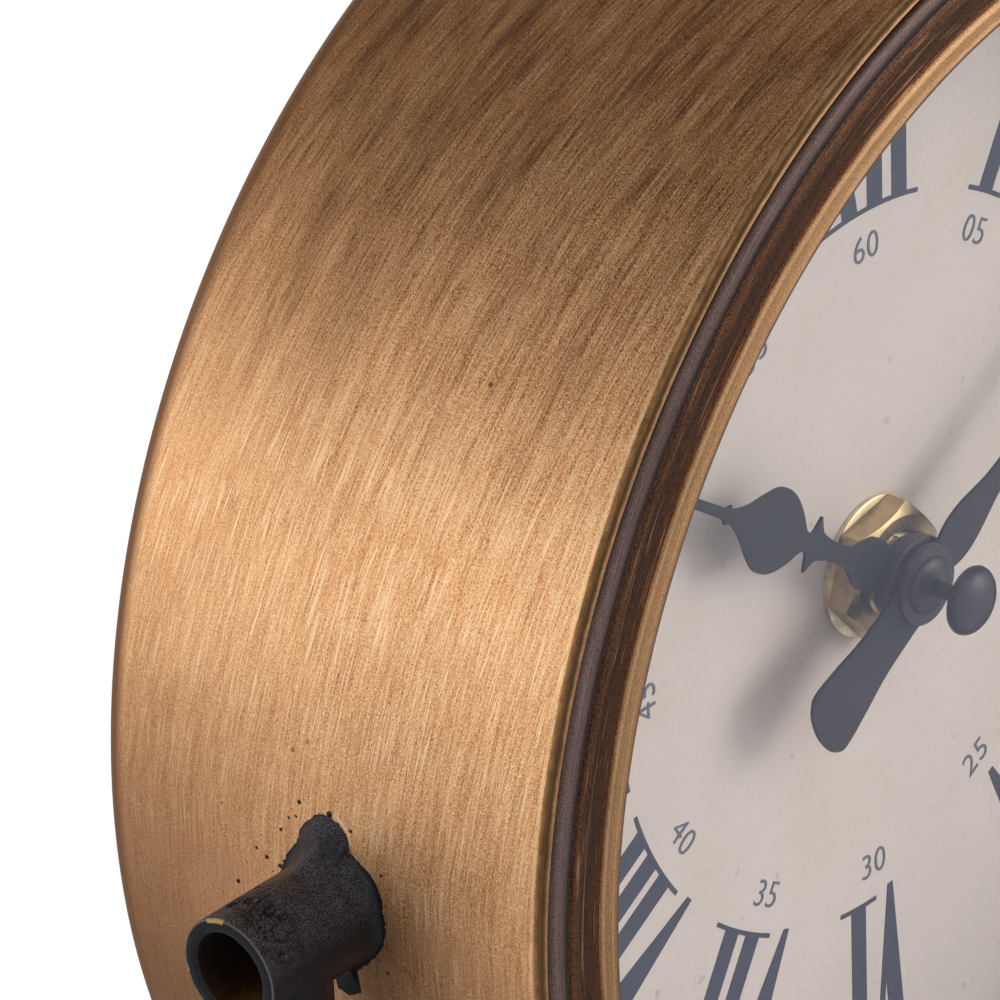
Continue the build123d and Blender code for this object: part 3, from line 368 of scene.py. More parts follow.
def paint_material(name, wear):
    """Black paint, painted paler where it faces up as if lit from above, wrinkled and chipped near a tube's
    end if worn.
    """
    g = Graph(name)
    grain = g.noise(8200, 2, 0.6)
    lumps = g.noise(420, 3, 0.5)
    # Painted light: the paint turns paler where it faces up
    facing_up = g.part("Z", g.node("NewGeometry").outputs["Normal"])
    lit = g.times(g.spread(facing_up, 0.1, 0.95), g.spread(lumps, 0.3, 0.65, 0.5, 1))
    dark = g.mix(g.spread(grain, 0.38, 0.62), srgb(6, 7, 11), srgb(36, 37, 46))
    pale = g.mix(g.spread(grain, 0.42, 0.6), srgb(30, 30, 34), srgb(130, 122, 126))
    base = g.mix(g.times(lit, 0.75), dark, pale)
    height = g.plus(g.times(grain, 0.3), g.times(lumps, 0.4))
    if wear:
        out = g.math("ABSOLUTE", g.part("X"))
        flat = g.vector("MULTIPLY", g.centred, (0, 1, 1))
        radius = g.length(flat)

        def past(value, end, low, high):
            return g.spread(value, (end - low) * MM, (end - high) * MM)

        # Painted shade: the tube's end face made darker and bluer
        base = g.mix(past(out, END, 0.08, 0.03), base, g.mix(grain, srgb(9, 12, 19), srgb(24, 29, 38)))
        # A pale line round the end's outer edge: worn paint, and partly a painted highlight
        rim = g.times(past(radius, TUBE, 0.24, 0.14), past(out, END, 0.2, 0.1))
        base = g.mix(g.times(rim, 0.5), base, srgb(140, 132, 130))
        edge = g.times(past(radius, TUBE, 0.42, 0.34), past(out, END, 0.3, 0.2))
        ragged = g.swing(g.noise(1300, 3), 0.9 * MM)
        for back, up, size in CHIPS:
            away = g.length(g.vector("SUBTRACT", flat, (0, back * MM, up * MM)))
            chip = g.spread(g.plus(away, ragged), (size - 0.1) * MM, size * MM, 1, 0)
            base = g.mix(g.times(chip, edge), base, srgb(206, 164, 100))
        # Painted shade: near black in the creases on the tube's upper side
        ridged = g.math("ABSOLUTE", g.minus(g.noise(620, 3, 0.6), 0.5))
        zone = g.near(out, (END - 2.8) * MM, 1.2 * MM, 2.8 * MM)
        zone = g.times(zone, g.spread(facing_up, 0.1, 0.7))
        crease = g.times(g.spread(ridged, 0.0, 0.045, 1, 0), zone)
        base = g.mix(g.times(crease, 0.85), base, srgb(8, 8, 9))
        height = g.minus(height, g.times(crease, 1.6))
    g.set(Base_Color=base, Roughness=g.spread(lumps, 0.3, 0.7, 0.36, 0.5), Specular_IOR_Level=0.18)
    g.bump(height, 0.07 if wear else 0.025, 0.9)
    return g.material


def bore_material():
    """The tube's bare bore: brown scale that turns golden towards one side."""
    g = Graph("tube_bore_scale")
    side = g.spread(g.minus(g.times(g.part("Y"), -1.0), g.part("Z")), -2 * MM, 5 * MM)
    rust = g.noise(900, 5, 0.65)
    mixed = g.plus(g.times(side, 0.7), g.times(rust, 0.5))
    colour = g.ramp(mixed, (0.3, srgb(30, 18, 12)), (0.62, srgb(70, 44, 22)), (0.95, srgb(140, 104, 40)))
    g.set(Base_Color=colour, Roughness=0.55, Metallic=0.3)
    g.bump(rust, 0.05)
    return g.material


def dial_material():
    g = Graph("dial_paint_cream")
    broad = g.noise(28, 4, 0.6)
    fine = g.noise(1800, 3, 0.6)
    dust = g.spread(g.noise(520, 2, 0.4), 0.74, 0.78)
    colour = g.ramp(broad, (0.35, srgb(216, 203, 194)), (0.65, srgb(226, 211, 203)))
    colour = g.mix(g.times(g.spread(fine, 0.4, 0.6), 0.08), colour, srgb(184, 172, 166))
    colour = g.mix(g.times(dust, 0.35), colour, srgb(150, 138, 128))
    blot = g.spread(g.noise(75, 3, 0.6), 0.54, 0.7)
    colour = g.mix(g.times(blot, 0.4), colour, srgb(216, 196, 178))
    g.set(Base_Color=colour, Roughness=g.spread(fine, 0.3, 0.7, 0.5, 0.62))
    g.bump(fine, 0.006)
    return g.material


def metal_material(name, spun, colour, roughness=0.34):
    """Bright metal with a little tarnish, and turning marks if spun."""
    g = Graph(name)
    if spun:
        rings = g.noise((1, 5200, 1), 3, 0.6, g.point(0.0, g.radius(), 0.0))
    else:
        rings = g.noise((60, 60, 60), 2)
    tarnish = g.noise(420, 4, 0.6)
    base = g.mix(g.spread(tarnish, 0.45, 0.7), srgb(*colour), srgb(*(int(v * 0.78) for v in colour)))
    g.set(Base_Color=base, Metallic=1.0)
    g.set(Roughness=g.spread(g.plus(rings, tarnish), 0.7, 1.3, roughness - 0.06, roughness + 0.1))
    g.bump(rings, 0.006, 0.4)
    return g.material


def glass_material():
    """Clear glass that lets light through to the dial."""
    g = Graph("clear_glass")
    tiny = g.noise(40, 2)
    g.set(Base_Color=(1.0, 1.0, 1.0), Roughness=0.0, IOR=1.45, Transmission_Weight=1.0)
    g.set(Specular_Tint=(0.4, 0.5, 1.0))
    g.bump(tiny, 0.002, 0.05)
    clear = g.node("BsdfTransparent").outputs[0]
    g.blend_surface(g.node("LightPath").outputs["Is Shadow Ray"], g.shader.outputs[0], clear)
    return g.material


def battery_material():
    """A plain cell: dark sleeve with a copper-coloured band at the positive end and a steel rim."""
    g = Graph("battery_sleeve")
    along = g.part("X")
    zones = g.ramp(
        g.spread(along, -25.3 * MM, 25.3 * MM),
        (0.0, srgb(150, 150, 148)), (0.018, srgb(30, 32, 36)), (0.7, srgb(34, 36, 40)),
        (0.71, srgb(176, 112, 66)), (0.955, srgb(182, 118, 70)), (0.97, srgb(168, 168, 166)),
    )
    fine = g.noise(900, 3)
    colour = g.mix(g.times(fine, 0.2), zones, (0.02, 0.02, 0.02))
    g.set(Base_Color=colour, Roughness=g.spread(fine, 0.3, 0.7, 0.26, 0.36))
    g.set(Metallic=g.spread(g.math("ABSOLUTE", along), 24.2 * MM, 24.5 * MM))
    g.bump(fine, 0.006)
    return g.material


def arbor_material():
    """White mouldings behind the dial, with painted shade darkening the arbors in front of it."""
    g = Graph("gear_with_shaded_arbor")
    fine = g.noise(1500, 4, 0.6)
    # Painted shade: the arbors in front of the dial made near black
    front = g.spread(g.part("Y"), behind(FACE - 1), behind(FACE), 1, 0)
    base = g.mix(front, srgb(226, 222, 208), srgb(26, 24, 25))
    g.set(Base_Color=g.mix(g.times(fine, 0.1), base, srgb(90, 84, 76)))
    g.set(Roughness=g.spread(fine, 0.3, 0.7, 0.36, 0.46))
    g.bump(fine, 0.004)
    return g.material


def winding_material():
    g = Graph("coil_copper")
    values = {"Vector": g.centred, "Scale": 900, "Distortion": 1.5}
    turns = g.node("TexWave", values, bands_direction="Z").outputs["Fac"]
    g.set(Base_Color=g.ramp(turns, (0.1, srgb(120, 56, 26)), (0.7, srgb(214, 122, 66))), Metallic=0.9)
    g.set(Roughness=g.spread(turns, 0, 1, 0.4, 0.25))
    g.bump(turns, 0.04)
    return g.material


BRONZE = barrel_material()
BEZEL = bezel_material()
PAINT = paint_material("black_paint_satin", False)
PAINT_WORN = paint_material("black_paint_worn", True)
BORE = bore_material()
DIAL = dial_material()
INK = simple("dial_ink_slate", srgb(40, 47, 62), 0.5, mottle=0.04, grain=2400, bump=0.0)
INK_FINE = simple("dial_ink_fine", srgb(92, 98, 110), 0.5, mottle=0.04, grain=2400, bump=0.0)
HAND = simple("hand_paint_black", srgb(10, 10, 15), 0.55, grain=2600, bump=0.0)
# The hubs: the hands' black paint made lighter, a painted sheen
HUB_PAINTED_SHEEN = simple("hub_black_painted_sheen", srgb(40, 37, 39), 0.36, grain=2600, bump=0.002)
CAP = simple("cap_black_satin", srgb(20, 20, 27), 0.36, grain=900, bump=0.0)
BRASS = metal_material("bright_brass", True, (240, 224, 184))
# The nut's brass, made darker than the washer's: painted shade on its flats
BRASS_SHADED = metal_material("brass_flats_painted_shade", False, (204, 176, 128))
STEEL = metal_material("steel_bright", False, (176, 176, 174), 0.28)
ZINC = metal_material("zinc_plate", False, (196, 200, 204), 0.36)
NICKEL = metal_material("nickel_plate", False, (206, 202, 192), 0.22)
SLEEVE = simple("sleeve_black_matt", srgb(24, 22, 21), 0.62, bump=0.02)
PLASTIC = simple("movement_black_moulded", srgb(26, 26, 27), 0.46, grain=3200, bump=0.02)
GEAR = simple("gear_white_moulded", srgb(226, 222, 208), 0.38, mottle=0.04, bump=0.004)
ARBOR = arbor_material()
BOARD = simple("board_green", srgb(30, 92, 54), 0.34, mottle=0.2, grain=700, bump=0.01)
RUBBER = simple("black_rubber", srgb(26, 25, 25), 0.74, grain=2200, bump=0.03)
GLASS = glass_material()
BATTERY = battery_material()
WINDING = winding_material()

# Solids that the scene shows as they are
DRESSED_SOLIDS = (
    (RUBBER, "rubber_feet", "glass_gasket", "rubber_washer"),
    (PAINT, "base_plate", "leg_left", "leg_right", "rear_cover"),
    (ZINC, "base_screws", "dial_posts", "cover_screws"),
    (STEEL, "leg_inserts", "coil_core", "stator_plate", "train_pins", "rotor_magnet"),
    (NICKEL, "battery_contact_negative", "battery_contact_positive", "quartz_crystal"),
    (PLASTIC, "movement_case", "movement_cover", "setting_knob"),
    (GEAR, "hour_wheel", "motion_wheel", "third_wheel", "centre_wheel", "fifth_wheel", "rotor_pinion"),
    (ARBOR, "cannon_pinion", "seconds_wheel"),
    (SLEEVE, "spacer_sleeve", "rear_ring"),
    (GLASS, "glass_lens"),
    (DIAL, "dial_plate"),
    (BATTERY, "battery_cell"),
    (BOARD, "circuit_board"),
    (WINDING, "coil_winding"),
)
for material, *node_names in DRESSED_SOLIDS:
    for node_name in node_names:
        for material_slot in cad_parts[node_name].material_slots:
            material_slot.material = material

# Pieces


def finish_piece(mesh, body, materials, nodes=(), sharp=32):
    """A piece of the scene named after its mesh, in place of the solids that it replaces."""
    for material in materials:
        mesh.materials.append(material)
    mesh.shade_smooth()
    mesh.set_sharp_from_angle(angle=radians(sharp))
    made = bpy.data.objects.new(mesh.name, mesh)
    bpy.context.scene.collection.objects.link(made)
    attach(made, body)
    if nodes:
        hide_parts(*nodes)


def skin_to_mesh(skin, name, outward=True):
    if outward:
        bmesh.ops.recalc_face_normals(skin, faces=skin.faces)
    mesh = bpy.data.meshes.new(name)
    skin.to_mesh(mesh)
    skin.free()
    return mesh


def rows_to_mesh(name, rows, kinds=None):
    """A skin over closed rows of points, the last joined to the first. kinds holds each row's material."""
    count = len(rows[0])
    faces = []
    for row in range(len(rows)):
        here, after = row * count, (row + 1) % len(rows) * count
        for column in range(count):
            following = (column + 1) % count
            faces.append((here + column, here + following, after + following, after + column))
    rough = bpy.data.meshes.new("rough")
    rough.from_pydata([point for row in rows for point in row], [], faces)
    if kinds:
        rough.polygons.foreach_set("material_index", [kind for kind in kinds for _ in range(count)])
    skin = bmesh.new()
    skin.from_mesh(rough)
    return skin_to_mesh(skin, name)


def turned(profile, steps, change=None):
    """Rows of points for a profile of (depth, radius) turned round the clock's axis."""
    rows = []
    for depth, radius in profile:
        row = []
        for step in range(steps):
            angle = 2 * pi * step / steps
            d, r = change(depth, radius, angle) if change else (depth, radius)
            row.append(place(d, *polar(r, angle)))
        rows.append(row)
    return rows


def arc(centre, radii, start, end, steps):
    """Points (depth, radius) on an arc, start and end in degrees."""
    turns = [radians(start + (end - start) * i / steps) for i in range(steps + 1)]
    return [(centre[0] + radii[0] * cos(turn), centre[1] + radii[1] * sin(turn)) for turn in turns]


def wobble(x, y, z):
    return noise.noise(Vector((x, y, z)))


# Case shell

BACK_WALL = 3.0
BACK_ROUND = 2.0
FRONT_ROUND = 0.4
INNER_ROUND = 1.6
# The front edge's channel, as (depth, radius)
CHANNEL = ((0.06, 74.35), (0.12, 74.1), (0.1, 73.85), (0.04, 73.7), (0.0, 73.62))
UNWORN_RADIUS = 74.3
corner_depth = CASE_BACK - BACK_WALL
side_end = CASE_BACK - BACK_ROUND
shell_profile = (
    [(0.42, RIM)]
    + arc((FRONT_ROUND, RIM - FRONT_ROUND), (FRONT_ROUND, FRONT_ROUND), 90, 180, 5)[1:]
    + [*CHANNEL, (0.5, INSIDE), (20, INSIDE), (corner_depth, INSIDE)]
    + arc((corner_depth, INSIDE - INNER_ROUND), (INNER_ROUND, INNER_ROUND), 90, 0, 6)[1:]
    + [(CASE_BACK, INSIDE - INNER_ROUND), (CASE_BACK, RIM - BACK_ROUND)]
    + arc((side_end, RIM - BACK_ROUND), (BACK_ROUND, BACK_ROUND), 0, 90, 12)[1:]
    + [(side_end - 1.1 * i, RIM) for i in range(1, 42)]
    + [(1.2, RIM), (0.8, RIM)]
)


def shell_change(depth, radius, angle):
    """Ragged wear and one dent on the front edge, and a slight wave all over."""
    if radius < UNWORN_RADIUS:
        return depth, radius
    ragged = 0.11 * wobble(angle * 140, depth * 3, 1) * exp(-(((depth - 0.3) / 0.5) ** 2))
    wave = 0.03 * wobble(sin(angle) * 4, cos(angle) * 4, depth * 0.08)
    dent = exp(-((degrees(angle) - 265.5) / 0.35) ** 2 - ((depth - 0.2) / 0.5) ** 2)
    return depth, min(RIM, radius - abs(ragged) - abs(wave) - 0.25 * dent)


shell = rows_to_mesh("drum_shell_turned", turned(shell_profile, 1200, shell_change))
finish_piece(shell, CASE, [BRONZE], ["drum_shell"], 40)

# Front bezel, as (depth, radius) from its outer roll across the face and the lip to the skirt

SKIRT_INSIDE, SKIRT_OUTSIDE, SKIRT_BACK = 72.55, 73.55, 9.0
BEZEL_FACE = (
    (-0.6, 71.86), (-0.52, 71.72), (-0.52, 71.62), (-0.62, 71.5), (-0.69, 71.2), (-0.71, 70.3),
    (-0.7, 69.6), (-0.68, 69.0), (-0.66, 68.5), (-0.68, 68.25), (-0.74, 68.0),
)
BEZEL_LIP = (
    (-0.86, 67.7), (-1.03, 67.42), (-1.24, 67.18), (-1.42, 66.98), (-1.52, 66.8), (-1.55, 66.62),
    (-1.5, 66.45), (-1.36, 66.31), (-1.18, 66.23), (-1.0, LIP_RADIUS), (0.0, LIP_RADIUS), (0.4, LIP_RADIUS),
)
BEZEL_SKIRT = (
    (0.4, SKIRT_INSIDE), (SKIRT_BACK, SKIRT_INSIDE), (SKIRT_BACK, SKIRT_OUTSIDE), (4.0, SKIRT_OUTSIDE),
)
bezel_profile = arc((0.3, 71.95), (0.92, 1.6), 90, 180, 14) + [*BEZEL_FACE, *BEZEL_LIP, *BEZEL_SKIRT]
bezel = rows_to_mesh("front_bezel_spun", turned(bezel_profile, 720))
finish_piece(bezel, CASE, [BEZEL], ["front_bezel"], 40)

# Dial print: numerals, minute rings and minute figures


INNER, OUTER = 35.5, 57.5
STROKE, HAIR = 2.15, 0.75
VEE, CROSS = 5.5, 6.0
OVERHANG = 1.6
SERIF = 0.45
PRINT = 0.08
RING_RADII, RING_WIDTH = (60.6, 63.0), 0.35
FIGURE_RADIUS, FIGURE_SIZE, FIGURE_RISE = 31.9, 3.75, 0.04
# Letters of each hour, the gap between them, and how far the group sits clockwise of its hour
NUMERALS = (
    ("XII", 1.4, -0.6), ("I", 1.2, -0.3), ("II", 1.5, -0.6), ("III", 1.2, -0.7),
    ("IIII", 1.1, -0.8), ("V", 1.2, -0.8), ("VI", 1.0, -0.9), ("VII", 1.3, -1.5),
    ("VIII", 1.0, -1.5), ("IX", 1.2, -1.7), ("X", 1.2, -1.5), ("XI", 1.3, -1.0),
)


def on_circles(across, share):
    """A numeral's point, where share 0 lies on the inner circle and share 1 on the outer one."""
    radius = INNER + 0.1 + (OUTER - INNER - 0.2) * share
    return across, sqrt(radius**2 - across**2)


def letter(kind, left):
    """Outlines of a letter as (across, share of the height), with its width."""
    if kind == "I":
        return [[(left, 0), (left + STROKE, 0), (left + STROKE, 1), (left, 1)]], STROKE
    if kind == "X":
        right = left + CROSS
        thick = [(right - STROKE, 0), (right, 0), (left + STROKE, 1), (left, 1)]
        thin = [(left, 0), (left + HAIR, 0), (right, 1), (right - HAIR, 1)]
        return [thick, thin], CROSS
    middle = left + VEE / 2
    joined = STROKE / (VEE - HAIR)
    apex = (left + STROKE + (middle - HAIR / 2 - left) * (1 - joined), joined)
    foot = [(middle - HAIR / 2, -0.02), (middle + HAIR / 2, -0.02)]
    thin = [(left + VEE, 1), (left + VEE - HAIR, 1), apex]
    return [foot + thin + [(left + STROKE, 1), (left, 1)]], VEE


def add_flat(skin, points, thickness, hour_angle=0.0):
    """A raised flat shape on the dial's face."""
    turn = radians(hour_angle)
    front = []
    back = []
    for across, up in points:
        front.append(skin.verts.new(swung(FACE - thickness, across, up, turn)))
        back.append(skin.verts.new(swung(FACE, across, up, turn)))
    skin.faces.new(front)
    skin.faces.new(back[::-1])
    for i in range(len(front)):
        j = (i + 1) % len(front)
        skin.faces.new((front[i], back[i], back[j], front[j]))


def add_strip(skin, radius, width, turns, hour_angle=0.0):
    """A raised strip along a circle of the dial."""
    inside = [polar(radius, turn) for turn in turns]
    outside = [polar(radius + width, turn) for turn in turns]
    add_flat(skin, inside + outside[::-1], PRINT, hour_angle)


def add_serif(skin, radius, low, high, hour_angle):
    steps = 24
    turns = [(low + (high - low) * i / steps) / radius for i in range(steps + 1)]
    add_strip(skin, radius, SERIF, turns, hour_angle)


print_skin = bmesh.new()
for hour, (letters, gap, offset) in enumerate(NUMERALS):
    widths = [letter(kind, 0)[1] for kind in letters]
    whole = sum(widths) + gap * (len(letters) - 1)
    low, high = offset - whole / 2, offset + whole / 2
    left = low
    footed = []
    for kind, width in zip(letters, widths):
        for order, outline in enumerate(letter(kind, left)[0]):
            points = [on_circles(across, share) for across, share in outline]
            add_flat(print_skin, points, 0.07 + 0.004 * order, 30 * hour)
        if kind != "V":
            footed += [left, left + width]
        left += width + gap
    add_serif(print_skin, OUTER - SERIF, low - OVERHANG, high + OVERHANG, 30 * hour)
    if footed:
        add_serif(print_skin, INNER, min(footed) - OVERHANG, max(footed) + OVERHANG, 30 * hour)
for radius in RING_RADII:
    for step in range(240):
        add_strip(print_skin, radius, RING_WIDTH, [radians(1.5 * (step + part)) for part in (0, 1)])
bmesh.ops.remove_doubles(print_skin, verts=print_skin.verts, dist=1e-7)
finish_piece(skin_to_mesh(print_skin, "dial_numerals"), CASE, [INK], ["dial_print"])

figure_skin = bmesh.new()
for minute in range(5, 65, 5):
    words = bpy.data.curves.new("figures", "FONT")
    words.body = f"{minute:02d}"
    words.size = FIGURE_SIZE
    words.offset = -0.035
    words.align_x = "CENTER"
    words.align_y = "CENTER"
    words.extrude = FIGURE_RISE
    words.space_character = 1.05
    words.resolution_u = 6
    holder = bpy.data.objects.new("figures", words)
    flat = bpy.data.meshes.new_from_object(holder)
    # The lower figures stand with their tops towards the middle
    way = -1 if 20 <= minute <= 40 else 1
    for vertex in flat.vertices:
        depth = FACE - FIGURE_RISE - vertex.co.z
        across, up = way * vertex.co.x, way * vertex.co.y + FIGURE_RADIUS
        vertex.co = swung(depth, across, up, radians(minute * 6))
    figure_skin.from_mesh(flat)
    bpy.data.objects.remove(holder)
finish_piece(skin_to_mesh(figure_skin, "minute_figures"), CASE, [INK_FINE])

# Nut, washer and threaded bushing

NUT_TURN = radians(11.6)
NUT_FLAT, NUT_CROWN, NUT_FACE, NUT_BORE = 6.0, 5.8, 5.7, 4.0
WASHER_BORE = 4.05
BUSHING_BORE, THREAD, FLANGE_RADIUS = 2.56, 3.99, 5.5
FLANGE = BUSHING_BACK - 0.9


def nut_section(angle):
    """The nut's section at an angle, from its bore round the outside, as (depth, radius)."""
    outer = NUT_FLAT / cos((angle + NUT_TURN + pi / 6) % (pi / 3) - pi / 6)
    slope = max(0.0, outer - NUT_CROWN) * 0.6
    return (
        (NUT_FRONT + 0.4, NUT_BORE),
        (NUT_FRONT, NUT_BORE + 0.4),
        (NUT_FRONT, NUT_FACE),
        (NUT_FRONT + 0.08, NUT_CROWN),
        (NUT_FRONT + 0.08 + slope, outer),
        (NUT_BACK - 0.04, outer),
        (NUT_BACK, outer - 0.05),
        (NUT_BACK, NUT_BORE),
    )


nut_columns = []
for step in range(240):
    angle = 2 * pi * step / 240
    nut_columns.append([place(depth, *polar(radius, angle)) for depth, radius in nut_section(angle)])
nut = rows_to_mesh("hex_nut", list(zip(*nut_columns)))
finish_piece(nut, CASE, [BRASS_SHADED], ["brass_nut"], 18)

washer_edge = ((0.0, 6.75), (0.06, 6.89), (0.2, 6.95), (0.35, 6.94), (0.5, 6.87))
washer_profile = [(NUT_BACK, WASHER_BORE), *((NUT_BACK + d, r) for d, r in washer_edge), (FACE, WASHER_BORE)]
washer = rows_to_mesh("dial_washer", turned(washer_profile, 180))
finish_piece(washer, CASE, [BRASS], ["brass_washer"])

thread_profile = [(BUSHING_FRONT, BUSHING_BORE), (BUSHING_FRONT, 3.5), (BUSHING_FRONT + 0.22, 3.95)]
thread_profile += [(BUSHING_FRONT + 0.3 + 0.25 * i, 3.72 if i % 2 else THREAD) for i in range(24)]
thread_profile += [(FLANGE, THREAD), (FLANGE, FLANGE_RADIUS)]
thread_profile += [(BUSHING_BACK, FLANGE_RADIUS), (BUSHING_BACK, BUSHING_BORE)]


def thread_change(depth, radius, angle):
    """Grooves that advance 0.5 mm in each turn."""
    if radius < 3.6 or depth < BUSHING_FRONT + 0.25 or depth > FLANGE - 0.6:
        return depth, radius
    return depth + 0.5 * angle / (2 * pi) - 0.25, radius


bushing = rows_to_mesh("bushing_thread", turned(thread_profile, 120, thread_change))
finish_piece(bushing, CASE, [BRASS], ["threaded_bushing"])

# Hands

# One side of each blade, as (along, across) in shares of its length, with a 1 at a sharp point
HOUR_SHARES = (
    (0.0, 0.1), (0.09, 0.06), (0.13, 0.058), (0.185, 0.063), (0.225, 0.046), (0.262, 0.026),
    (0.335, 0.0235), (0.385, 0.032), (0.4, 0.044), (0.416, 0.066, 1), (0.424, 0.044), (0.43, 0.028),
    (0.442, 0.02, 1), (0.462, 0.03), (0.49, 0.058), (0.53, 0.086), (0.57, 0.099), (0.61, 0.096),
    (0.655, 0.07), (0.7, 0.038), (0.74, 0.02), (0.76, 0.017), (0.768, 0.023, 1), (0.777, 0.016),
    (0.79, 0.0135), (0.9, 0.0125), (0.985, 0.012), (1.0, 0.004, 1),
)
MINUTE_SHARES = (
    (0.0, 0.05), (0.04, 0.03), (0.075, 0.042), (0.105, 0.0465), (0.14, 0.043), (0.18, 0.033),
    (0.22, 0.0245), (0.32, 0.0175), (0.45, 0.0145), (0.56, 0.0135), (0.595, 0.021), (0.618, 0.038, 1),
    (0.623, 0.021), (0.632, 0.012, 1), (0.65, 0.026), (0.69, 0.043), (0.735, 0.045), (0.79, 0.029),
    (0.84, 0.0135), (0.87, 0.009), (0.99, 0.007), (1.0, 0.003, 1),
)
# One side of the minute hand's tail, as (across, up)
TAIL = (
    (2.9, 0.0), (2.92, -4.0), (2.95, -7.0), (3.02, -8.4), (3.2, -9.8), (3.67, -12.2), (4.0, -14.2),
    (4.14, -15.4), (4.15, -16.0), (4.08, -16.5), (3.94, -16.75), (3.3, -17.35), (2.6, -17.75),
    (1.9, -17.95), (1.15, -18.08), (0.5, -18.17),
)
HOUR_LENGTH, HOUR_ANGLE = 40.0, 304
MINUTE_LENGTH, MINUTE_ANGLE = 57.0, 60


def catmull_rom(before, start, end, after, t):
    square = 2 * before - 5 * start + 4 * end - after
    cube = 3 * start - before - 3 * end + after
    return 0.5 * (2 * start + (end - before) * t + square * t * t + cube * t**3)


def smooth_side(shares, length):
    """A smooth line (across, along) through one side of a hand, broken at its sharp points."""
    points = [(share[1] * length, share[0] * length, len(share) > 2) for share in shares]
    result = []
    for i in range(len(points) - 1):
        p1, p2 = points[i], points[i + 1]
        p0 = points[i - 1] if i > 0 and not p1[2] else p1
        p3 = points[i + 2] if i + 2 < len(points) and not p2[2] else p2
        for step in range(5):
            result.append(tuple(catmull_rom(p0[k], p1[k], p2[k], p3[k], step / 5) for k in (0, 1)))
    return result + [points[-1][:2]]


def mirrored(side):
    return [*side, *((-across, along) for across, along in reversed(side))]


def hand_plate(skin, outline, back, angle):
    """A flat blade with softened edges."""
    part = bmesh.new()
    turn = radians(angle)
    face = part.faces.new([part.verts.new(swung(back - PLATE, across, up, turn)) for across, up in outline])
    grown = bmesh.ops.extrude_face_region(part, geom=[face])
    moved = [item for item in grown["geom"] if isinstance(item, bmesh.types.BMVert)]
    bmesh.ops.translate(part, verts=moved, vec=(0, PLATE * MM, 0))
    bmesh.ops.recalc_face_normals(part, faces=part.faces)
    rims = [edge for edge in part.edges if abs(edge.verts[0].co.y - edge.verts[1].co.y) < 1e-7]
    bmesh.ops.bevel(part, geom=rims, offset=0.08 * MM, segments=2, affect="EDGES", clamp_overlap=True)
    skin.from_mesh(skin_to_mesh(part, "plate", False))


def hand_mesh(name, outlines, back, angle, hub_profile):
    """Blades in the first material, and a turned hub in the second."""
    skin = bmesh.new()
    for outline in outlines:
        hand_plate(skin, outline, back, angle)
    skin.from_mesh(rows_to_mesh("hub", turned(hub_profile, 120), [1] * len(hub_profile)))
    return skin_to_mesh(skin, name, False)


hour_outline = mirrored(smooth_side(HOUR_SHARES, HOUR_LENGTH))
hour_hub = [
    (HOUR_BACK, 2.55), (HOUR_BACK, 4.3), (HOUR_BACK - 0.1, 4.4), (HOUR_FRONT + 0.15, 4.4),
    (HOUR_FRONT + 0.04, 4.36), (HOUR_FRONT, 4.25), (HOUR_FRONT, 1.9), (HOUR_BACK - PLATE, 1.9),
]
hour_hand = hand_mesh("hour_hand_blade", [hour_outline], HOUR_BACK, HOUR_ANGLE, hour_hub)
finish_piece(hour_hand, "hour_body", [HAND, HUB_PAINTED_SHEEN], ["hour_hand"])

minute_outlines = [mirrored(smooth_side(MINUTE_SHARES, MINUTE_LENGTH)), mirrored(TAIL)]
hub_front = MINUTE_FRONT + 0.8
minute_hub = [
    (MINUTE_BACK, 1.85), (MINUTE_BACK, 3.8), (MINUTE_BACK - 0.1, 3.9), (hub_front + 0.1, 3.9),
    (hub_front + 0.02, 3.84), (hub_front, 3.72), *arc((hub_front - 0.02, 0.8), (-0.78, 2.0), 90, 0, 10),
    (hub_front, 0.8), (MINUTE_BACK, 0.9),
]
minute_hand = hand_mesh("minute_hand_blade", minute_outlines, MINUTE_BACK, MINUTE_ANGLE, minute_hub)
finish_piece(minute_hand, "minute_body", [HAND, HUB_PAINTED_SHEEN], ["minute_hand"])

CAP_RADIUS, CAP_DOME, CAP_NECK = 3.3, 1.6, 0.75
cap_back = CAP_FRONT + 2.1
cap_profile = [
    (NECK_BACK, 0.05), (NECK_BACK, CAP_NECK), (cap_back + 0.1, CAP_NECK), (cap_back + 0.02, 0.85),
    (cap_back, 1.0), (cap_back, 2.8), (cap_back - 0.04, 3.0), (cap_back - 0.2, 3.2),
    (cap_back - 0.45, CAP_RADIUS), *arc((CAP_FRONT + CAP_DOME, 0), (-CAP_DOME, CAP_RADIUS), 86, 1, 17),
    (CAP_FRONT, 0.05),
]
cap = rows_to_mesh("arbor_cap_domed", turned(cap_profile, 96))
finish_piece(cap, "seconds_body", [CAP], ["arbor_cap"], 45)

# Side tubes, welds, and paint on the case

BORE_RADIUS = TUBE - 1.35
TUBE_FOOT = 74.75
# Where the paint is creased, out from the middle, and its pits as (out, angle, radius, depth)
CREASED = 83.6
PITS = (
    (84.6, 68, 0.55, 0.4), (83.9, 82, 0.5, 0.34), (83.1, 100, 0.55, 0.4),
    (84.0, 108, 0.5, 0.3), (85.6, 152, 0.4, 0.35), (81.2, 60, 0.35, 0.2),
)


def side_place(side, out, back, up):
    """A point beside the case: out from the middle, back and up from the tube's axis."""
    return Vector((side * out * MM, back * MM, AXIS + up * MM))


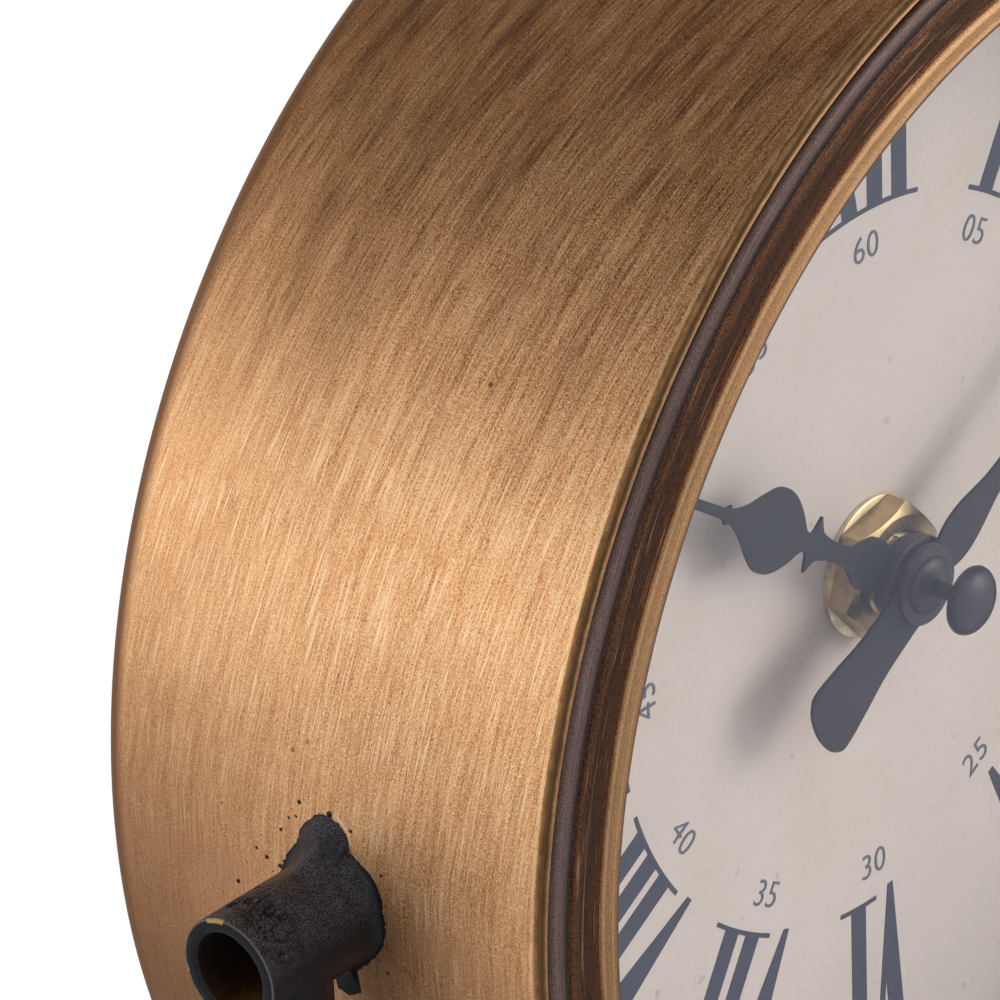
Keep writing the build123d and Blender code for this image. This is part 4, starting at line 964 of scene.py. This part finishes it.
def sunk(out, angle, seed):
    """How far creases, pits and nicks take the paint in. The angle runs from the back over the top."""
    turn = radians(angle)
    back, up = cos(turn), sin(turn)
    worst = max(0.0, sin(turn - 0.1)) ** 2 * exp(-(((out - CREASED) / 2.2) ** 2))
    crease = max(0.0, 1 - abs(wobble(out * 1.3 + seed, back * 7, up * 7)) * 6) * worst
    fine = wobble(out * 3.2, back * 8 + seed, up * 8)
    broad = wobble(out * 0.5 + seed, back * 2, up * 2)
    total = 0.2 * crease + 0.03 * abs(fine) * (0.3 + worst * 2) + 0.03 * abs(broad)
    for pit_out, pit_angle, size, deep in PITS:
        off = (angle - pit_angle + 180) % 360 - 180
        far = ((out - pit_out) ** 2 + (radians(off) * TUBE) ** 2) / size**2
        if far < 4:
            total += deep * exp(-(far**2) * 1.5)
    if out > END - 0.35:
        total += 0.2 * max(0.0, wobble(back * 9, up * 9, seed + 3) - 0.25)
    return total


def tube_mesh(name, side):
    bore = [(TUBE_FOOT + 12.5 * i / 12, BORE_RADIUS) for i in range(13)] + [(END - 0.2, BORE_RADIUS + 0.03)]
    mouth = [(END - 0.07, BORE_RADIUS + 0.12), (END, BORE_RADIUS + 0.28), (END, 4.3), (END, TUBE - 0.3)]
    mouth += [(END - 0.04, TUBE - 0.14), (END - 0.14, TUBE - 0.04), (END - 0.3, TUBE)]
    outside = [(END - 0.3 - 0.115 * i, TUBE) for i in range(1, 110)]
    rows = []
    steps = 320
    for out, radius in bore + mouth + outside:
        row = []
        for step in range(steps):
            angle = 360 * step / steps
            back, up = cos(radians(angle)), sin(radians(angle))
            if radius > 4.0:
                bumpy = radius - sunk(out, angle, 0 if side < 0 else 40)
            else:
                bumpy = radius + 0.05 * wobble(out * 1.5, back * 4, up * 4)
            row.append(side_place(side, out, bumpy * back, bumpy * up))
        rows.append(row)
    return rows_to_mesh(name, rows, [1] * len(bore) + [0] * len(mouth + outside))


# Weld outline on the case, as (angle from the back, over the top, in degrees; distance from the tube's axis)
WELD = (
    (0, 5.75), (30, 5.9), (54, 6.25), (62, 7.17), (69, 7.79), (77, 8.31), (84, 8.63), (89, 8.61), (96, 8.3),
    (102, 7.8), (106, 7.3), (108, 6.42), (114, 6.4), (127, 6.39), (137, 6.61), (150, 6.32), (164, 5.89),
    (180, 5.85), (192, 5.72), (208, 5.31), (222, 5.2), (235, 5.25), (246, 5.5), (252, 7.6), (262, 8.1),
    (271, 7.8), (276, 5.6), (300, 5.5), (330, 5.6), (360, 5.75),
)
WELD_INSIDE = 4.6


def table(values, angle):
    """The value at an angle, between the listed ones."""
    for (a, r), (b, s) in zip(values, values[1:]):
        if a <= angle <= b:
            return r + (s - r) * (angle - a) / (b - a)
    return values[-1][1]


def case_out(up):
    """How far out the case's side lies at a height from its axis."""
    return sqrt(CASE_RADIUS**2 - up**2)


def weld_mesh(name, side):
    """A bead from case to tube, with a lobe on top, a flat tab below and a film of paint round it."""
    seed = 0 if side < 0 else 17
    rows = []
    levels = 26
    steps = 300
    for level in range(-2, levels + 1):
        row = []
        for step in range(steps):
            angle = 360 * step / steps
            turn = radians(angle)
            x, y = cos(turn), sin(turn)
            foot = table(WELD, angle)
            lobe = exp(-(((angle - 86) / 24) ** 2))
            if level < 0:
                edge = wobble(x * 16 + seed, y * 16, 5) * 0.16 + wobble(x * 60, y * 60, seed) * 0.16
                distance = foot + 0.12 + max(-0.1, edge)
                lift = -0.03 if level == -2 else 0.035
            else:
                t = level / levels
                body = TUBE + 0.02
                if 245 < angle < 278:
                    distance = foot + (body - foot) * t
                    lift = 0.04 + 0.4 * t**3
                else:
                    bend = pi / 2 * t
                    reach = 1.2 + 3.1 * lobe + 0.7 * exp(-(((angle - 140) / 40) ** 2))
                    distance = body + (foot - body) * (1 - sin(bend)) ** (1.0 - 0.25 * lobe)
                    mound = sin(pi * min(1.0, t * 1.5)) ** 1.5
                    lift = 0.05 + reach * (1 - cos(bend)) + 1.0 * lobe * mound * (1 - t)
                distance += 0.06 * wobble(x * 6, y * 6, t * 3 + seed) * sin(pi * t)
            row.append(side_place(side, case_out(distance * y) + lift, distance * x, distance * y))
        rows.append(row)
    turns = [2 * pi * step / steps for step in range(steps)]
    inner = [(WELD_INSIDE * cos(turn), WELD_INSIDE * sin(turn)) for turn in turns]
    rows.append([side_place(side, case_out(up) + 0.3, back, up) for back, up in inner])
    return rows_to_mesh(name, rows)


# Paint spatter on the case beside the left tube, as (back, up, radius)
SPATTER = (
    (3.6, 8.9, 0.2), (3.9, 7.5, 0.15), (5.6, 5.7, 0.17), (8.4, 3.0, 0.17), (7.3, 2.5, 0.2),
    (5.8, 2.2, 0.2), (10.8, -1.1, 0.24), (-2.2, 8.2, 0.17), (-0.5, 10.3, 0.08), (12.3, 5.9, 0.09),
    (0.2, 8.95, 0.3), (-5.9, -4.0, 0.16), (-5.6, 5.3, 0.14), (4.7, 7.1, 0.12), (6.6, 1.4, 0.1),
    (4.4, 8.0, 0.08), (7.9, 4.4, 0.07), (9.6, 1.2, 0.08), (-4.2, 6.9, 0.09), (2.6, 9.7, 0.07),
)


def spatter_mesh(name, side):
    skin = bmesh.new()
    for back, up, size in SPATTER:
        if side > 0:
            back, up, size = back * 0.9 - 1.0, up * 0.95 + 0.4, size * 0.9
        out = case_out(up)
        normal = Vector((side * out, 0, up)).normalized()
        turn = normal.to_track_quat("Z", "Y").to_matrix().to_4x4()
        where = Matrix.Translation(side_place(side, out - 0.03, back, up))
        stretch = Matrix.Diagonal((size * MM, size * MM * random.uniform(0.8, 1.3), size * MM * 0.55, 1))
        made = bmesh.ops.create_icosphere(skin, subdivisions=3, radius=1)
        for vertex in made["verts"]:
            vertex.co *= 1 + 0.25 * wobble(*(vertex.co * 1.7 + Vector((back, up, 0))))
        bmesh.ops.transform(skin, matrix=where @ turn @ stretch, verts=made["verts"])
    return skin_to_mesh(skin, name, False)


for side, label in ((-1, "left"), (1, "right")):
    tube = tube_mesh(f"side_tube_{label}_painted", side)
    finish_piece(tube, CASE, [PAINT_WORN, BORE], [f"side_tube_{label}"], 60)
    weld = weld_mesh(f"weld_{label}_bead", side)
    finish_piece(weld, CASE, [PAINT], [f"tube_weld_{label}"], 60)
    finish_piece(spatter_mesh(f"paint_spatter_{label}", side), CASE, [PAINT])

# Floor, light and camera

floor_mesh = bpy.data.meshes.new("floor")
floor_mesh.from_pydata([(-4, -4, 0), (4, -4, 0), (4, 4, 0), (-4, 4, 0)], [], [(0, 1, 2, 3)])
floor = bpy.data.objects.new("floor", floor_mesh)
bpy.context.scene.collection.objects.link(floor)
ground = Graph("floor_white")
ground.set(Base_Color=(0.86, 0.86, 0.86), Roughness=0.9)
glow = ground.node("Emission", ((1, 1, 1), 1.14))
rays = ground.node("LightPath")
other = ground.math("MAXIMUM", rays.outputs["Is Glossy Ray"], rays.outputs["Is Transmission Ray"])
seen = ground.math("MAXIMUM", ground.times(rays.outputs["Is Camera Ray"], 0.85), ground.times(other, 0.3))
ground.blend_surface(seen, ground.shader.outputs[0], glow.outputs[0])
floor_mesh.materials.append(ground.material)

world = bpy.data.worlds.new("studio")
bpy.context.scene.world = world
world.use_nodes = True
tree = world.node_tree
background = tree.nodes["Background"]
coordinate = tree.nodes.new("ShaderNodeTexCoord")
split = tree.nodes.new("ShaderNodeSeparateXYZ")
fade = tree.nodes.new("ShaderNodeValToRGB")
fade.color_ramp.interpolation = "EASE"
for element, (position, level) in zip(fade.color_ramp.elements, ((0.22, 0.9), (0.78, 0.1))):
    element.position = position
    element.color = (level, level, level, 1)
tree.links.new(coordinate.outputs["Generated"], split.inputs[0])
tree.links.new(split.outputs["Z"], fade.inputs[0])
tree.links.new(fade.outputs[0], background.inputs["Color"])
background.inputs["Strength"].default_value = 1.0


def lamp(name, where, target, size, power, spread=180):
    data = bpy.data.lights.new(name, "AREA")
    data.shape = "RECTANGLE"
    data.size, data.size_y = size
    data.energy = power
    data.spread = radians(spread)
    made = bpy.data.objects.new(name, data)
    made.location = where
    made.rotation_euler = (Vector(target) - Vector(where)).to_track_quat("-Z", "Y").to_euler()
    bpy.context.scene.collection.objects.link(made)


lamp("key", (0.64, -0.83, 0.31), (0, 0, 0.1), (0.5, 0.5), 3.0)
lamp("top", (-0.15, -0.75, 1.05), (0, 0, 0.1), (0.7, 0.7), 1.8)
lamp("side", (-0.95, 0.72, 0.34), (-0.05, 0, 0.1), (0.6, 0.5), 1.75)

# The photograph's camera, in radians and millimetres
AZIMUTH, ELEVATION, ROLL = -0.83809, 0.47945, -0.04287
DISTANCE = 475.9
flat_right = Vector((cos(AZIMUTH), sin(AZIMUTH), 0))
level_back = Vector((sin(AZIMUTH), -cos(AZIMUTH), 0))
back = level_back * cos(ELEVATION) + Vector((0, 0, sin(ELEVATION)))
up = back.cross(flat_right)
right = cos(ROLL) * flat_right + sin(ROLL) * up
upward = -sin(ROLL) * flat_right + cos(ROLL) * up
camera_data = bpy.data.cameras.new("camera")
camera_data.lens = 221.27
camera_data.sensor_width = 36
camera_data.clip_start = 0.01
camera = bpy.data.objects.new("camera", camera_data)
bpy.context.scene.collection.objects.link(camera)
aim = Vector((-76.93, -22.5, 140.38)) * MM
turned_to = Matrix((right, upward, back)).transposed().to_4x4()
camera.matrix_world = Matrix.Translation(aim + back * DISTANCE * MM) @ turned_to
bpy.context.scene.camera = camera

bpy.context.scene.view_settings.view_transform = "Standard"
